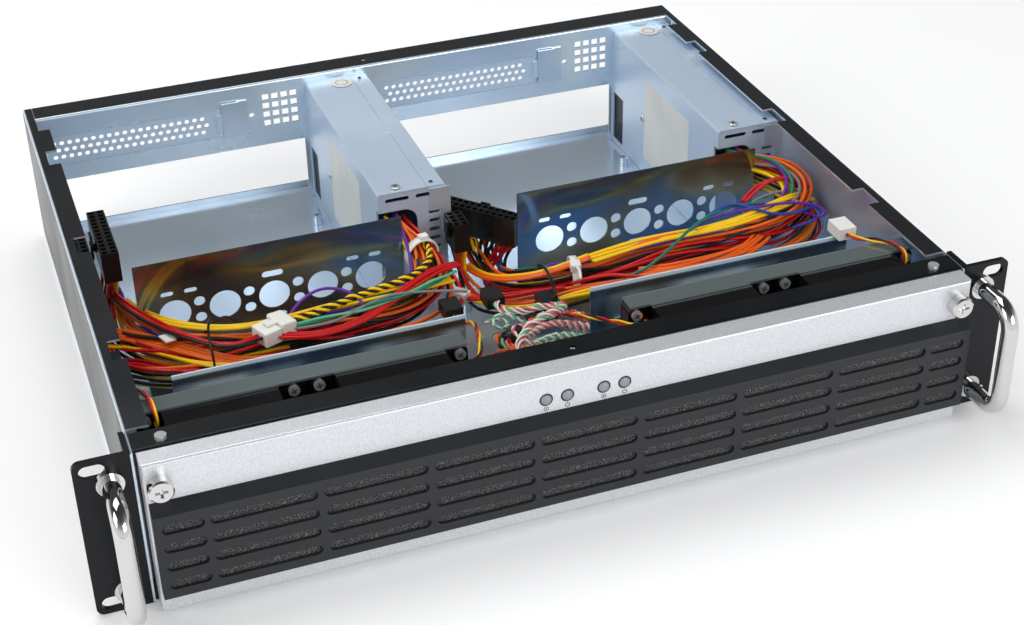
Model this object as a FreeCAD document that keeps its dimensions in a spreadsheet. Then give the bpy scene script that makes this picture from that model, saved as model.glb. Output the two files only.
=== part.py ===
import FreeCAD, Part
import math
import os
import Sketcher
from FreeCAD import Placement, Rotation, Vector

# A 2U rackmount case for two small server nodes side by side. Lengths are in millimetres.
# X runs to the right as seen from the front, Y to the rear and Z up. In the sizes below, depths
# are measured from the front face of the rack ears, widths from the middle of the case and
# heights from its underside.

doc = FreeCAD.newDocument("RackCase")
sheet = doc.addObject("Spreadsheet::Sheet", "Sizes")
nodes = []


# ---------------------------------------------------------------- sizes and their formulas

class Size:
    """A number together with the spreadsheet formula that gives it."""

    def __init__(self, value, formula):
        self.value = float(value)
        self.formula = formula

    def joined(self, sign, other, value):
        return Size(value, "(%s %s %s)" % (self.formula, sign, formula(other)))

    def __add__(self, other):
        return self.joined("+", other, self.value + number(other))

    def __radd__(self, other):
        return Size(other, formula(other)) + self

    def __sub__(self, other):
        return self.joined("-", other, self.value - number(other))

    def __rsub__(self, other):
        return Size(other, formula(other)) - self

    def __mul__(self, other):
        return self.joined("*", other, self.value * number(other))

    def __rmul__(self, other):
        return Size(other, formula(other)) * self

    def __truediv__(self, other):
        return self.joined("/", other, self.value / number(other))

    def __neg__(self):
        return Size(0, "0") - self


def number(amount):
    return amount.value if isinstance(amount, Size) else float(amount)


def formula(amount):
    return amount.formula if isinstance(amount, Size) else "(%.6f)" % amount


def size(alias, value):
    """Put one driving size in the spreadsheet and give it back."""
    row = len(sheet.getUsedCells()) // 2 + 1
    sheet.set("A%d" % row, "'" + alias)
    sheet.set("B%d" % row, "%g" % value)
    sheet.setAlias("B%d" % row, alias)
    return Size(value, "Sizes." + alias)


def bind(thing, path, amount):
    thing.setExpression(path, formula(amount))


# case shell
case_width = size("case_width", 430)
case_height = size("case_height", 88)
case_depth = size("case_depth", 374)
sheet_metal = size("sheet_metal", 1.2)
bend_radius = size("bend_radius", 0.6)
fit = size("fit_clearance", 0.2)
flange_width = size("flange_width", 12)
flange_front = size("flange_front", 18.5)
rear_strip_width = size("rear_strip_width", 5.5)
rear_strip_length = size("rear_strip_length", 33)
hook_notch_length = size("hook_notch_length", 18)
hook_notch_first = size("hook_notch_first", 77)
hook_notch_rear_inset = size("hook_notch_rear_inset", 80)
rail_hole = size("rail_hole_diameter", 5)
rail_hole_height = size("rail_hole_height", 24)
rail_hole_first = size("rail_hole_first", 140)
rail_hole_rear_inset = size("rail_hole_rear_inset", 14)
rear_lip_height = size("rear_lip_height", 5)

# rear wall, set in from the rear edge
wall_recess = size("wall_recess", 15.6)
io_width = size("io_opening_width", 158.75)
io_top = size("io_opening_top", 44.45)
io_inset = size("io_opening_inset", 10.6)
slot_inset = size("slot_opening_inset", 7.8)
slot_width = size("slot_opening_width", 108)
slot_drop = size("slot_opening_drop", 33)
slot_height = size("slot_opening_height", 19.4)
vent_inset = size("vent_inset", 144)
vent_drop = size("vent_drop", 30.8)
vent_square = size("vent_square", 4.2)
vent_pitch = size("vent_pitch", 6)
vent_screw_step = size("vent_screw_step", 7.6)
vent_screw_rise = size("vent_screw_rise", 9.3)
vent_screw_hole = size("vent_screw_hole", 3.2)
supply_lip = size("supply_window_lip", 3)
supply_foot_margin = size("supply_foot_margin", 6)
cover_sheet = size("cover_sheet", 1)
cover_hole = size("cover_hole_diameter", 3.3)
cover_pitch = size("cover_hole_pitch", 4.85)
cover_row_pitch = size("cover_row_pitch", 4.6)
cover_first_hole = size("cover_first_hole", 5)
tab_lap = size("cover_tab_lap", 2)
tab_reach = size("cover_tab_reach", 7)
tab_margin = size("cover_tab_margin", 4)
clamp_gap = size("clamp_gap", 1.5)
clamp_drop = size("clamp_drop", 0.5)
clamp_foot = size("clamp_foot", 5)
clamp_width = size("clamp_width", 11.5)
clamp_height = size("clamp_height", 23.5)

# board standoffs, on the mini-ITX hole pattern
board_inset = size("board_inset", 0.9)
board_gap = size("board_gap", 3.7)
board_hole_side = size("board_hole_side", 6.35)
board_hole_span = size("board_hole_span", 157.48)
board_hole_rear_left = size("board_hole_rear_left", 10.16)
board_hole_rear_right = size("board_hole_rear_right", 33.02)
board_hole_front = size("board_hole_front", 165.1)
standoff_diameter = size("standoff_diameter", 6)
standoff_height = size("standoff_height", 6.5)
standoff_bore = size("standoff_bore", 3)

# power supplies, on edge beside each board bay
supply_width = size("supply_width", 40.4)
supply_length = size("supply_length", 160)
supply_headroom = size("supply_headroom", 5.65)
supply_sheet = size("supply_sheet", 1)
supply_gap = size("supply_to_middle_gap", 0.9)
supply_seam = size("supply_seam", 29.2)
exit_width = size("wire_exit_width", 22.8)
exit_height = size("wire_exit_height", 24)
exit_drop = size("wire_exit_drop", 11.9)
exit_radius = size("wire_exit_radius", 8)
supply_slot = size("supply_slot_width", 2.5)
supply_slot_pitch = size("supply_slot_pitch", 5.75)
top_slot_drop = size("supply_top_slot_drop", 4.8)
side_slot_middle = size("supply_side_slot_middle", 33)
side_slot_length = size("supply_side_slot_length", 6.6)
side_slot_drop = size("supply_side_slot_drop", 56.9)
seam_tab = size("supply_seam_tab", 6)
inlet_width = size("inlet_width", 27.6)
inlet_height = size("inlet_height", 20)
inlet_drop = size("inlet_drop", 26)
inlet_depth = size("inlet_depth", 18)
supply_fan_side = size("supply_fan_side", 38)
supply_fan_depth = size("supply_fan_depth", 18)
supply_fan_gap = size("supply_fan_gap", 0.2)
gusset_drop = size("gusset_drop", 39)
gusset_stand_off = size("gusset_stand_off", 2.4)
gusset_width = size("gusset_width", 10)
gusset_leg = size("gusset_leg", 14)

# drive trays
tray_side_gap = size("tray_to_side_gap", 29.5)
tray_width = size("tray_width", 150)
tray_gap = size("tray_to_bracket_gap", 10)
tray_rear_gap = size("tray_to_supply_gap", 21.2)
tray_headroom = size("tray_headroom", 9)
tray_sheet = size("tray_sheet", 1)
breather_pitch = size("breather_pitch", 27.65)
breather_diameter = size("breather_diameter", 17.4)
breather_height = size("breather_height", 44.5)
small_breather_diameter = size("small_breather_diameter", 6.2)
small_breather_rise = size("small_breather_rise", 5.1)
drive_hole_height = size("drive_hole_height", 57.6)
drive_hole_pitch = size("drive_hole_pitch", 104)
drive_hole_step = size("drive_hole_step", 12.9)
drive_hole_length = size("drive_hole_length", 7)
drive_hole_width = size("drive_hole_width", 3)
cable_slot_length = size("cable_slot_length", 12)
cable_slot_width = size("cable_slot_width", 4)
cable_slot_rise = size("cable_slot_rise", 13.4)

# front fans and their brackets
fan_side = size("fan_side", 80)
fan_depth = size("fan_depth", 25)
fan_pitch = size("fan_pitch", 84)
fan_side_gap = size("fan_to_side_gap", 6.8)
fan_rim = size("fan_rim", 2)
fan_strut_depth = size("fan_strut_depth", 1.4)
fan_shaft = size("fan_shaft_diameter", 3)
fan_post = size("fan_post_diameter", 7)
fan_tip_gap = size("fan_tip_gap", 1.4)
fan_front = size("fan_front", 22)
fan_lug = size("fan_lug_depth", 10)
fan_notch = size("fan_corner_notch", 12)
fan_screw_pitch = size("fan_screw_pitch", 71.5)
bracket_side_margin = size("bracket_side_margin", 0.6)
bracket_flange = size("bracket_flange", 12.6)
bracket_foot = size("bracket_foot", 9)

# front panel, bezel and grille
panel_flange = size("panel_flange", 14.5)
panel_screw_side_inset = size("panel_screw_side_inset", 15.2)
panel_screw_inset = size("panel_screw_inset", 6)
bezel_margin = size("bezel_side_margin", 2.7)
bezel_bottom = size("bezel_bottom", 2)
bezel_drop = size("bezel_top_drop", 0.8)
bezel_depth = size("bezel_depth", 11.1)
bezel_wall = size("bezel_wall", 2)
bezel_edge = size("bezel_edge_radius", 1.4)
grille_margin = size("grille_side_margin", 1)
grille_bottom = size("grille_bottom", 14.3)
grille_front_top = size("grille_front_top", 61.6)
grille_top = size("grille_top", 66.1)
grille_rise = size("grille_rise", 6.1)
grille_wall = size("grille_wall", 1.8)
grille_slot_height = size("grille_slot_height", 5.5)
grille_row_pitch = size("grille_row_pitch", 10.7)
grille_row_first = size("grille_row_first", 21.8)
grille_slot_length = size("grille_slot_length", 50.3)
grille_slot_pitch = size("grille_slot_pitch", 53.5)
window_margin = size("bezel_window_margin", 5)
foam_depth = size("foam_depth", 5)
thumb_inset = size("thumbscrew_inset", 7)
thumb_drop = size("thumbscrew_drop", 12.2)
thumb_diameter = size("thumbscrew_diameter", 12)
thumb_head = size("thumbscrew_head", 6)
thumb_shank = size("thumbscrew_shank", 4)
running_gap = size("running_gap", 0.05)
light_drop = size("light_drop", 13.7)
light_inner = size("light_inner", 9.4)
light_outer = size("light_outer", 20.3)
light_diameter = size("light_diameter", 5.6)
light_proud = size("light_proud", 1.6)
light_stem = size("light_stem", 5)
board_sheet = size("board_sheet", 1.6)

# rack ears and handles
ear_overhang = size("ear_overhang", 26.3)
ear_sheet = size("ear_sheet", 2.5)
ear_leg = size("ear_leg", 17.5)
ear_corner = size("ear_corner_radius", 4)
ear_slot_inset = size("ear_slot_inset", 8.75)
ear_slot_rise = size("ear_slot_rise", 38.1)
ear_slot_length = size("ear_slot_length", 12)
ear_slot_width = size("ear_slot_width", 7)
ear_screw_inset = size("ear_screw_inset", 6)
ear_screw_rise = size("ear_screw_rise", 18.6)
handle_diameter = size("handle_diameter", 9)
handle_inset = size("handle_inset", 15.7)
handle_rise = size("handle_rise", 31)
handle_reach = size("handle_reach", 34.5)
handle_bend = size("handle_bend", 12)
ferrule_diameter = size("ferrule_diameter", 13)
ferrule_length = size("ferrule_length", 3)

# wiring
main_lead = size("main_lead_diameter", 12)
spare_lead = size("spare_lead_diameter", 9)
fan_lead = size("fan_lead_diameter", 3)
panel_lead = size("panel_lead_diameter", 5)
plug_cell = size("plug_cell", 4.2)
plug_thickness = size("plug_thickness", 9.6)
plug_length = size("plug_length", 18)
small_plug_width = size("small_plug_width", 10)
small_plug_height = size("small_plug_height", 6.6)
small_plug_length = size("small_plug_length", 13)

# screws
screw_head = size("screw_head", 5.6)
screw_rise = size("screw_head_height", 2)
screw_shank = size("screw_shank", 2.8)
screw_hole = size("screw_hole", 3.4)
doc.recompute()

half_width = case_width / 2
inner_half = half_width - sheet_metal
wall_rear = case_depth - wall_recess
wall_front = wall_rear - sheet_metal
front_face = (handle_reach - case_depth) / 2
hook_notch_pitch = (case_depth - hook_notch_rear_inset - hook_notch_first) / 2
rail_hole_pitch = (case_depth - rail_hole_rear_inset - rail_hole_first) / 2
supply_lefts = (-supply_gap - supply_width, inner_half - gusset_stand_off - supply_width)
bay_lefts = (-inner_half, -supply_gap)
board_lefts = (bay_lefts[0] + board_inset, bay_lefts[1] + board_inset)
board_rear = wall_front - board_gap
supply_front = wall_front - supply_length
floor_top = sheet_metal
slot_bottom = case_height - slot_drop
vent_bottom = case_height - vent_drop
supply_height = case_height - floor_top - supply_headroom
inlet_middle = case_height - inlet_drop
handle_middle = case_height / 2
fan_middle = inner_half - fan_side_gap - (fan_pitch + fan_side) / 2
fan_middles = [side * fan_middle + step * fan_pitch / 2 for side in (-1, 1) for step in (-1, 1)]
tray_middle = inner_half - tray_side_gap - tray_width / 2
tray_front = fan_front + fan_depth + bracket_foot + tray_gap
tray_length = supply_front - tray_rear_gap - tray_front
tray_height = case_height - floor_top - tray_headroom
panel_screw_side = half_width - panel_screw_side_inset
bezel_half = half_width - bezel_margin
bezel_top = case_height - bezel_drop
grille_half = bezel_half - grille_margin
thumb_half_span = bezel_half - thumb_inset
thumb_height = bezel_top - thumb_drop
light_height = bezel_top - light_drop
thumb_hole = thumb_shank + 2 * running_gap
ear_reach = half_width + ear_overhang
handle_side = ear_reach - handle_inset
SIDES = (("left", -1), ("right", 1))
ALONG_X = Vector(1, 0, 0)
ALONG_Y = Vector(0, 1, 0)
ALONG_Z = Vector(0, 0, 1)

# the width, depth and height of the case that the leads' routes are drawn in
DRAWN_CASE = Vector(430, 374, 88)


# ---------------------------------------------------------------- drawing and shaping helpers

class Drawing:
    """The edges and dimensions of one sketch, gathered before they are added to it."""

    def __init__(self):
        self.edges = []
        self.rules = []

    def join(self, first, second):
        self.rules.append((Sketcher.Constraint("Coincident", first, 2, second, 1), None))

    def hold(self, kind, edge, end, amount):
        self.rules.append((Sketcher.Constraint(kind, edge, end, number(amount)), formula(amount)))

    def hold_point(self, edge, end, u, v):
        self.hold("DistanceX", edge, end, u)
        self.hold("DistanceY", edge, end, v)

    def polygon(self, points):
        first = len(self.edges)
        flat = [Vector(number(u), number(v), 0) for u, v in points]
        for i, start in enumerate(flat):
            self.edges.append(Part.LineSegment(start, flat[(i + 1) % len(flat)]))
            self.join(first + i, first + (i + 1) % len(flat))
        for i, (u, v) in enumerate(points):
            self.hold_point(first + i, 1, u, v)
        return self

    def rectangle(self, u0, v0, u1, v1):
        return self.polygon([(u0, v0), (u1, v0), (u1, v1), (u0, v1)])

    def circle(self, u, v, diameter):
        centre = Vector(number(u), number(v), 0)
        self.edges.append(Part.Circle(centre, Vector(0, 0, 1), number(diameter) / 2))
        edge = len(self.edges) - 1
        self.hold_point(edge, 3, u, v)
        self.rules.append((Sketcher.Constraint("Radius", edge, number(diameter) / 2),
                           formula(diameter / 2)))
        return self

    def slot(self, u, v, length, width):
        """A slot with round ends, long in the drawing's first direction."""
        first = len(self.edges)
        reach = (length - width) / 2
        radius = width / 2
        for side, start in ((1, -math.pi / 2), (-1, math.pi / 2)):
            centre = Vector(number(u) + side * number(reach), number(v), 0)
            ring = Part.Circle(centre, Vector(0, 0, 1), number(radius))
            self.edges.append(Part.ArcOfCircle(ring, start, start + math.pi))
            top = Vector(centre.x, number(v) + side * number(radius), 0)
            across = Vector(2 * side * number(reach), 0, 0)
            self.edges.append(Part.LineSegment(top, top - across))
        for i in range(4):
            self.join(first + i, first + (i + 1) % 4)
        for edge, side in ((first, 1), (first + 2, -1)):
            self.hold_point(edge, 3, u + side * reach, v)
            self.hold_point(edge, 1, u + side * reach, v - side * radius)
            self.hold("DistanceX", edge, 2, u + side * reach)
        return self


def origin_part(body, role):
    return [part for part in body.Origin.OriginFeatures if part.Role == role][0]


def sketch_on(body, plane, level, drawing):
    """Lay a drawing on one of the body's own planes, moved along the axis that crosses it."""
    sketch = body.newObject("Sketcher::SketchObject", "sketch")
    sketch.AttachmentSupport = [(origin_part(body, plane + "_Plane"), "")]
    sketch.MapMode = "FlatFace"
    bind(sketch, ".AttachmentOffset.Base.z", -1 * level if plane == "XZ" else 1 * level)
    sketch.addGeometry(drawing.edges, False)
    sketch.addConstraint([rule for rule, _ in drawing.rules])
    for index, (_, text) in enumerate(drawing.rules):
        if text:
            sketch.setExpression("Constraints[%d]" % index, text)
    return sketch


def new_body(label, x=0, y=0, z=0, turn=0):
    """An empty body whose own origin lies at x, y, z of the case, turned about Z."""
    body = doc.addObject("PartDesign::Body", label)
    body.Label = label
    body.AllowCompound = True
    body.Placement.Rotation = Rotation(ALONG_Z, turn)
    bind(body, "Placement.Base.x", x)
    bind(body, "Placement.Base.y", front_face + y)
    bind(body, "Placement.Base.z", z)
    nodes.append(body)
    return body


def pad(body, plane, start, depth, drawing):
    """Add material from start, for depth along the plane's own axis."""
    sketch = sketch_on(body, plane, start, drawing)
    feature = body.newObject("PartDesign::Pad", "pad")
    feature.Profile = sketch
    feature.Reversed = plane == "XZ"
    bind(feature, "Length", depth)
    body.Tip = feature
    return feature


def cut(body, plane, start, depth, drawing):
    """Take material away from start, for depth along the plane's own axis."""
    sketch = sketch_on(body, plane, start, drawing)
    feature = body.newObject("PartDesign::Pocket", "cut")
    feature.Profile = sketch
    feature.Reversed = plane != "XZ"
    bind(feature, "Length", depth)
    body.Tip = feature
    return feature


def repeat(body, feature, axis, pitch, count, second=None):
    """Repeat a feature along an axis, and along a second one as (axis, pitch, count)."""
    pattern = body.newObject("PartDesign::LinearPattern", "repeat")
    pattern.Originals = [feature]
    pattern.Direction = (origin_part(body, axis + "_Axis"), [""])
    pattern.Occurrences = count
    bind(pattern, "Length", pitch * (count - 1))
    if second:
        axis, pitch, count = second
        pattern.Direction2 = (origin_part(body, axis + "_Axis"), [""])
        pattern.Occurrences2 = count
        bind(pattern, "Length2", pitch * (count - 1))
    body.Tip = pattern
    return pattern


def turn_pattern(body, feature, count):
    """Repeat a feature evenly around the body's Y axis."""
    pattern = body.newObject("PartDesign::PolarPattern", "turn")
    pattern.Originals = [feature]
    pattern.Axis = (origin_part(body, "Y_Axis"), [""])
    pattern.Occurrences = count
    pattern.Angle = 360
    body.Tip = pattern
    return pattern


def revolve(body, drawing):
    """Turn a drawing on the XY plane around the body's Y axis."""
    sketch = sketch_on(body, "XY", 0, drawing)
    feature = body.newObject("PartDesign::Revolution", "revolve")
    feature.Profile = sketch
    feature.ReferenceAxis = (sketch, ["V_Axis"])
    feature.Angle = 360
    body.Tip = feature
    return feature


def round_edges(body, radius, wanted):
    """Round the straight edges of the body that the wanted test picks."""
    doc.recompute()
    base = body.Tip
    names = ["Edge%d" % (i + 1) for i, edge in enumerate(base.Shape.Edges) if wanted(edge)]
    feature = body.newObject("PartDesign::Fillet", "round")
    feature.Base = (base, names)
    bind(feature, "Radius", radius)
    body.Tip = feature
    return feature


def runs_along(edge, axis):
    """Whether an edge is straight and parallel to an axis given as a vector."""
    if not isinstance(edge.Curve, Part.Line):
        return False
    return abs(edge.Curve.Direction.dot(axis)) > 0.999


def near(value, amount, tolerance=0.02):
    return abs(value - number(amount)) < tolerance


# ---------------------------------------------------------------- case shell

def make_chassis_tray():
    """The folded floor and side walls, with the cover's hook flanges along the top."""
    body = new_body("chassis_tray")
    flange = half_width - flange_width
    low_side = case_height - sheet_metal
    profile = Drawing().polygon([
        (-half_width, 0), (half_width, 0), (half_width, case_height), (flange, case_height),
        (flange, low_side), (inner_half, low_side), (inner_half, floor_top),
        (-inner_half, floor_top), (-inner_half, low_side), (-flange, low_side),
        (-flange, case_height), (-half_width, case_height)])
    pad(body, "XZ", 0, case_depth, profile)
    round_edges(body, bend_radius + sheet_metal,
                lambda edge: runs_along(edge, ALONG_Y) and near(abs(edge.CenterOfMass.x), half_width))
    round_edges(body, bend_radius,
                lambda edge: runs_along(edge, ALONG_Y) and near(abs(edge.CenterOfMass.x), inner_half))
    above = 2 * sheet_metal
    strip = half_width - rear_strip_width
    beyond = half_width - flange_width - fit
    front_gap = Drawing()
    rear_gap = Drawing()
    notch = Drawing()
    rear_start = case_depth - rear_strip_length
    for side in (-1, 1):
        front_gap.rectangle(side * inner_half, -1, side * beyond, flange_front)
        rear_gap.rectangle(side * strip, rear_start, side * beyond, case_depth + 1)
        notch.rectangle(side * strip, hook_notch_first,
                        side * beyond, hook_notch_first + hook_notch_length)
    cut(body, "XY", case_height - above, above + 1, front_gap)
    cut(body, "XY", case_height - above, above + 1, rear_gap)
    repeat(body, cut(body, "XY", case_height - above, above + 1, notch), "Y", hook_notch_pitch, 3)
    hole = Drawing().circle(rail_hole_first, rail_hole_height, rail_hole)
    repeat(body, cut(body, "YZ", -half_width - 1, case_width + 2, hole), "Y", rail_hole_pitch, 3)
    lip_half = inner_half - bend_radius
    lip = Drawing().rectangle(-lip_half, floor_top / 2, lip_half, rear_lip_height)
    pad(body, "XZ", case_depth - sheet_metal, sheet_metal, lip)


def make_rear_wall():
    """The inner rear wall: board openings, expansion slots, vents and supply windows."""
    body = new_body("rear_wall")
    strip = half_width - rear_strip_width - fit
    side = inner_half - bend_radius
    under_flange = case_height - sheet_metal - fit
    foot = floor_top
    outline = [(-side, foot)]
    for bay in bay_lefts:
        left = bay + io_inset
        right = left + io_width
        outline += [(left, foot), (left, io_top), (right, io_top), (right, foot)]
    outline += [(side, foot), (side, under_flange), (strip, under_flange), (strip, case_height),
                (-strip, case_height), (-strip, under_flange), (-side, under_flange)]
    drawing = Drawing().polygon(outline)
    for bay in bay_lefts:
        slot_left = bay + slot_inset
        drawing.rectangle(slot_left, slot_bottom, slot_left + slot_width, slot_bottom + slot_height)
        drawing.circle(bay + vent_inset - vent_screw_step, vent_bottom + vent_screw_rise,
                       vent_screw_hole)
    for left in supply_lefts:
        drawing.rectangle(left + supply_lip, floor_top + supply_lip,
                          left + supply_width - supply_lip, floor_top + supply_height - supply_lip)
    pad(body, "XZ", wall_front, sheet_metal, drawing)
    flange = Drawing().rectangle(-strip, wall_front, strip, case_depth)
    flange.circle(0, case_depth - wall_recess / 2, screw_hole)
    pad(body, "XY", case_height - sheet_metal, sheet_metal, flange)
    squares = Drawing()
    for bay in bay_lefts:
        left = bay + vent_inset
        squares.rectangle(left, vent_bottom, left + vent_square, vent_bottom + vent_square)
    first = cut(body, "XZ", wall_front - 1, sheet_metal + 2, squares)
    repeat(body, first, "X", vent_pitch, 4, ("Z", vent_pitch, 4))
    feet = Drawing()
    for left in supply_lefts:
        feet.rectangle(left + supply_foot_margin, wall_rear - sheet_metal / 2,
                       left + supply_width - supply_foot_margin, wall_rear + wall_recess / 2)
    pad(body, "XY", floor_top, sheet_metal, feet)
    round_edges(body, bend_radius + sheet_metal, lambda edge: runs_along(edge, ALONG_X)
                and near(edge.CenterOfMass.y, wall_front) and near(edge.CenterOfMass.z, case_height))


def make_slot_cover(name, bay):
    """A perforated blank in the expansion slot, with its end tab bent over the wall."""
    body = new_body("slot_cover_" + name, bay + slot_inset, wall_rear - cover_sheet, slot_bottom)
    length = slot_width - fit
    tab_left = slot_width - tab_lap
    outer = Drawing().rectangle(fit, fit, length, slot_height - fit)
    pad(body, "XZ", 0, cover_sheet, outer)
    jog = Drawing().rectangle(tab_left, -sheet_metal, length, cover_sheet)
    pad(body, "XY", tab_margin, slot_height - 2 * tab_margin, jog)
    tab = Drawing().rectangle(tab_left, tab_margin, slot_width + tab_reach,
                              slot_height - tab_margin)
    pad(body, "XZ", -sheet_metal, cover_sheet, tab)
    holes = Drawing()
    middle = slot_height / 2
    for row, shift in ((-1, 0), (0, 0.5), (1, 0)):
        u = cover_first_hole + shift * cover_pitch
        v = middle + row * cover_row_pitch
        hexagon(holes, u, v, cover_hole)
    repeat(body, cut(body, "XZ", -1, cover_sheet + 2, holes), "X", cover_pitch, 20)


def hexagon(drawing, u, v, width):
    """A six-sided hole as wide across its corners as width."""
    reach = width / 2
    rise = reach * math.sin(math.pi / 3)
    drawing.polygon([(u - reach, v), (u - reach / 2, v - rise), (u + reach / 2, v - rise),
                     (u + reach, v), (u + reach / 2, v + rise), (u - reach / 2, v + rise)])


def make_slot_clamps():
    """The two folded clamps that hold the slot blanks' end tabs."""
    body = new_body("slot_clamps")
    near_face = wall_front - 2 * cover_sheet
    for bay in bay_lefts:
        left = bay + slot_inset + slot_width + clamp_gap
        right = left + clamp_width
        foot = right + clamp_foot
        fold = Drawing().polygon([
            (left, near_face), (right, near_face), (right, wall_front - cover_sheet),
            (foot, wall_front - cover_sheet), (foot, wall_front),
            (right - cover_sheet, wall_front), (right - cover_sheet, near_face + cover_sheet),
            (left, near_face + cover_sheet)])
        pad(body, "XY", slot_bottom - clamp_drop, clamp_height, fold)


# ---------------------------------------------------------------- board bays and drive trays

def make_standoffs():
    """The eight threaded standoffs of the two mini-ITX boards."""
    body = new_body("board_standoffs", z=floor_top)
    posts = Drawing()
    bores = Drawing()
    for left in board_lefts:
        near_left = left + board_hole_side
        near_right = near_left + board_hole_span
        for x, back in ((near_left, board_hole_rear_left), (near_right, board_hole_rear_right),
                        (near_left, board_hole_front), (near_right, board_hole_front)):
            posts.circle(x, board_rear - back, standoff_diameter)
            bores.circle(x, board_rear - back, standoff_bore)
    pad(body, "XY", 0, standoff_height, posts)
    cut(body, "XY", 1, standoff_height, bores)


def make_drive_tray(name, side):
    """A folded tray whose tall rear side has breathing holes and slots for a drive's screws."""
    body = new_body("drive_tray_" + name, side * tray_middle, tray_front, floor_top)
    profile = Drawing().polygon([
        (0, 0), (tray_length, 0), (tray_length, tray_height),
        (tray_length - tray_sheet, tray_height), (tray_length - tray_sheet, tray_sheet),
        (tray_sheet, tray_sheet), (tray_sheet, tray_height), (0, tray_height)])
    pad(body, "YZ", -tray_width / 2, tray_width, profile)
    holes = Drawing()
    for step in range(-2, 3):
        holes.circle(step * breather_pitch, breather_height, breather_diameter)
    for step in (-1.5, -0.5, 0.5, 1.5):
        for rise in (-1, 1):
            holes.circle(step * breather_pitch, breather_height + rise * small_breather_rise,
                         small_breather_diameter)
    for rise in (-1, 1):
        holes.slot(0, breather_height + rise * cable_slot_rise, cable_slot_length,
                   cable_slot_width)
    drive_slots(holes)
    cut(body, "XZ", tray_length - 2 * tray_sheet, 3 * tray_sheet, holes)
    cut(body, "XZ", -tray_sheet, 3 * tray_sheet, drive_slots(Drawing()))
    round_edges(body, bend_radius + tray_sheet, lambda edge: runs_along(edge, ALONG_X)
                and near(edge.CenterOfMass.z, 0))


def drive_slots(drawing):
    """Two pairs of short slots, for the screws along a drive's side."""
    for side in (-1, 1):
        for step in (0, 1):
            x = side * drive_hole_pitch / 2 + (step - 0.5) * drive_hole_step
            drawing.slot(x, drive_hole_height, drive_hole_length, drive_hole_width)
    return drawing


# ---------------------------------------------------------------- power supplies

def make_supply_case(name, left):
    """The supply's main folding: bottom, left side, most of the top and both ends."""
    body = new_body("supply_case_" + name, left, supply_front, floor_top)
    inner = supply_width - supply_sheet
    top = supply_height
    fold = Drawing().polygon([
        (0, 0), (inner, 0), (inner, supply_sheet), (supply_sheet, supply_sheet),
        (supply_sheet, top - supply_sheet), (supply_seam, top - supply_sheet),
        (supply_seam, top), (0, top)])
    pad(body, "XZ", 0, supply_length, fold)
    end = Drawing().rectangle(supply_sheet / 2, supply_sheet / 2, inner - fit, top - supply_sheet - fit)
    pad(body, "XZ", 0, supply_sheet, end)
    pad(body, "XZ", supply_length - supply_sheet, supply_sheet, end)
    round_edges(body, bend_radius + supply_sheet, lambda edge: runs_along(edge, ALONG_Y)
                and near(edge.CenterOfMass.x, 0))
    openings = Drawing()
    openings.slot(supply_width * 0.28, top - top_slot_drop, supply_width * 0.35, supply_slot)
    openings.slot(supply_width * 0.69, top - top_slot_drop, supply_width * 0.27, supply_slot)
    cut(body, "XZ", -1, 3 * supply_sheet, openings)
    short = Drawing().slot(side_slot_middle, top - side_slot_drop, side_slot_length, supply_slot)
    repeat(body, cut(body, "XZ", -1, 3 * supply_sheet, short), "Z", supply_slot_pitch, 8)
    exit_top = top - exit_drop
    notch = Drawing().rectangle(-1, exit_top - exit_height, exit_width, exit_top)
    cut(body, "XZ", -1, 3 * supply_sheet, notch)
    side_notch = Drawing().rectangle(-1, exit_top - exit_height, 5, exit_top)
    cut(body, "YZ", -1, supply_sheet + 2, side_notch)
    round_edges(body, exit_radius, lambda edge: runs_along(edge, ALONG_Y)
                and near(edge.CenterOfMass.x, exit_width) and near(edge.CenterOfMass.z, exit_top))
    rear = supply_length - supply_sheet
    fan_middle_x = supply_width / 2
    fan_middle_z = supply_sheet + supply_fan_gap + supply_fan_side / 2
    window = Drawing().rectangle(rear - supply_fan_depth + 1, supply_sheet + supply_lip, rear - 1,
                                 supply_sheet + supply_fan_side - 1)
    cut(body, "YZ", -1, supply_sheet + 2, window)
    outlets = Drawing()
    inlet_z = inlet_middle - floor_top
    outlets.rectangle(fan_middle_x - inlet_width / 2, inlet_z - inlet_height / 2,
                      fan_middle_x + inlet_width / 2, inlet_z + inlet_height / 2)
    grid_half = supply_fan_side / 2 - supply_lip
    for row in range(-3, 4):
        outlets.slot(fan_middle_x, fan_middle_z + row * grid_half / 3.6,
                     2 * grid_half - abs(row) * 3.4, 3)
    cut(body, "XZ", rear - 1, supply_sheet + 2, outlets)


def make_supply_cover(name, left):
    """The supply's cover: the rest of the top, lapped at the seam, and the right side."""
    body = new_body("supply_cover_" + name, left, supply_front, floor_top)
    seam = supply_seam + fit
    inner = supply_width - supply_sheet
    under = supply_height - supply_sheet
    fold = Drawing().polygon([(seam, under), (inner, under), (inner, 0), (supply_width, 0),
                              (supply_width, supply_height), (seam, supply_height)])
    pad(body, "XZ", 0, supply_length, fold)
    middle = supply_length / 2
    tab = Drawing().rectangle(supply_seam - seam_tab / 2, middle - seam_tab,
                              supply_seam + seam_tab / 2, middle + seam_tab)
    pad(body, "XY", supply_height, supply_sheet / 2, tab)
    round_edges(body, bend_radius + supply_sheet, lambda edge: runs_along(edge, ALONG_Y)
                and near(edge.CenterOfMass.x, supply_width)
                and near(edge.CenterOfMass.z, supply_height))


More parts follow.
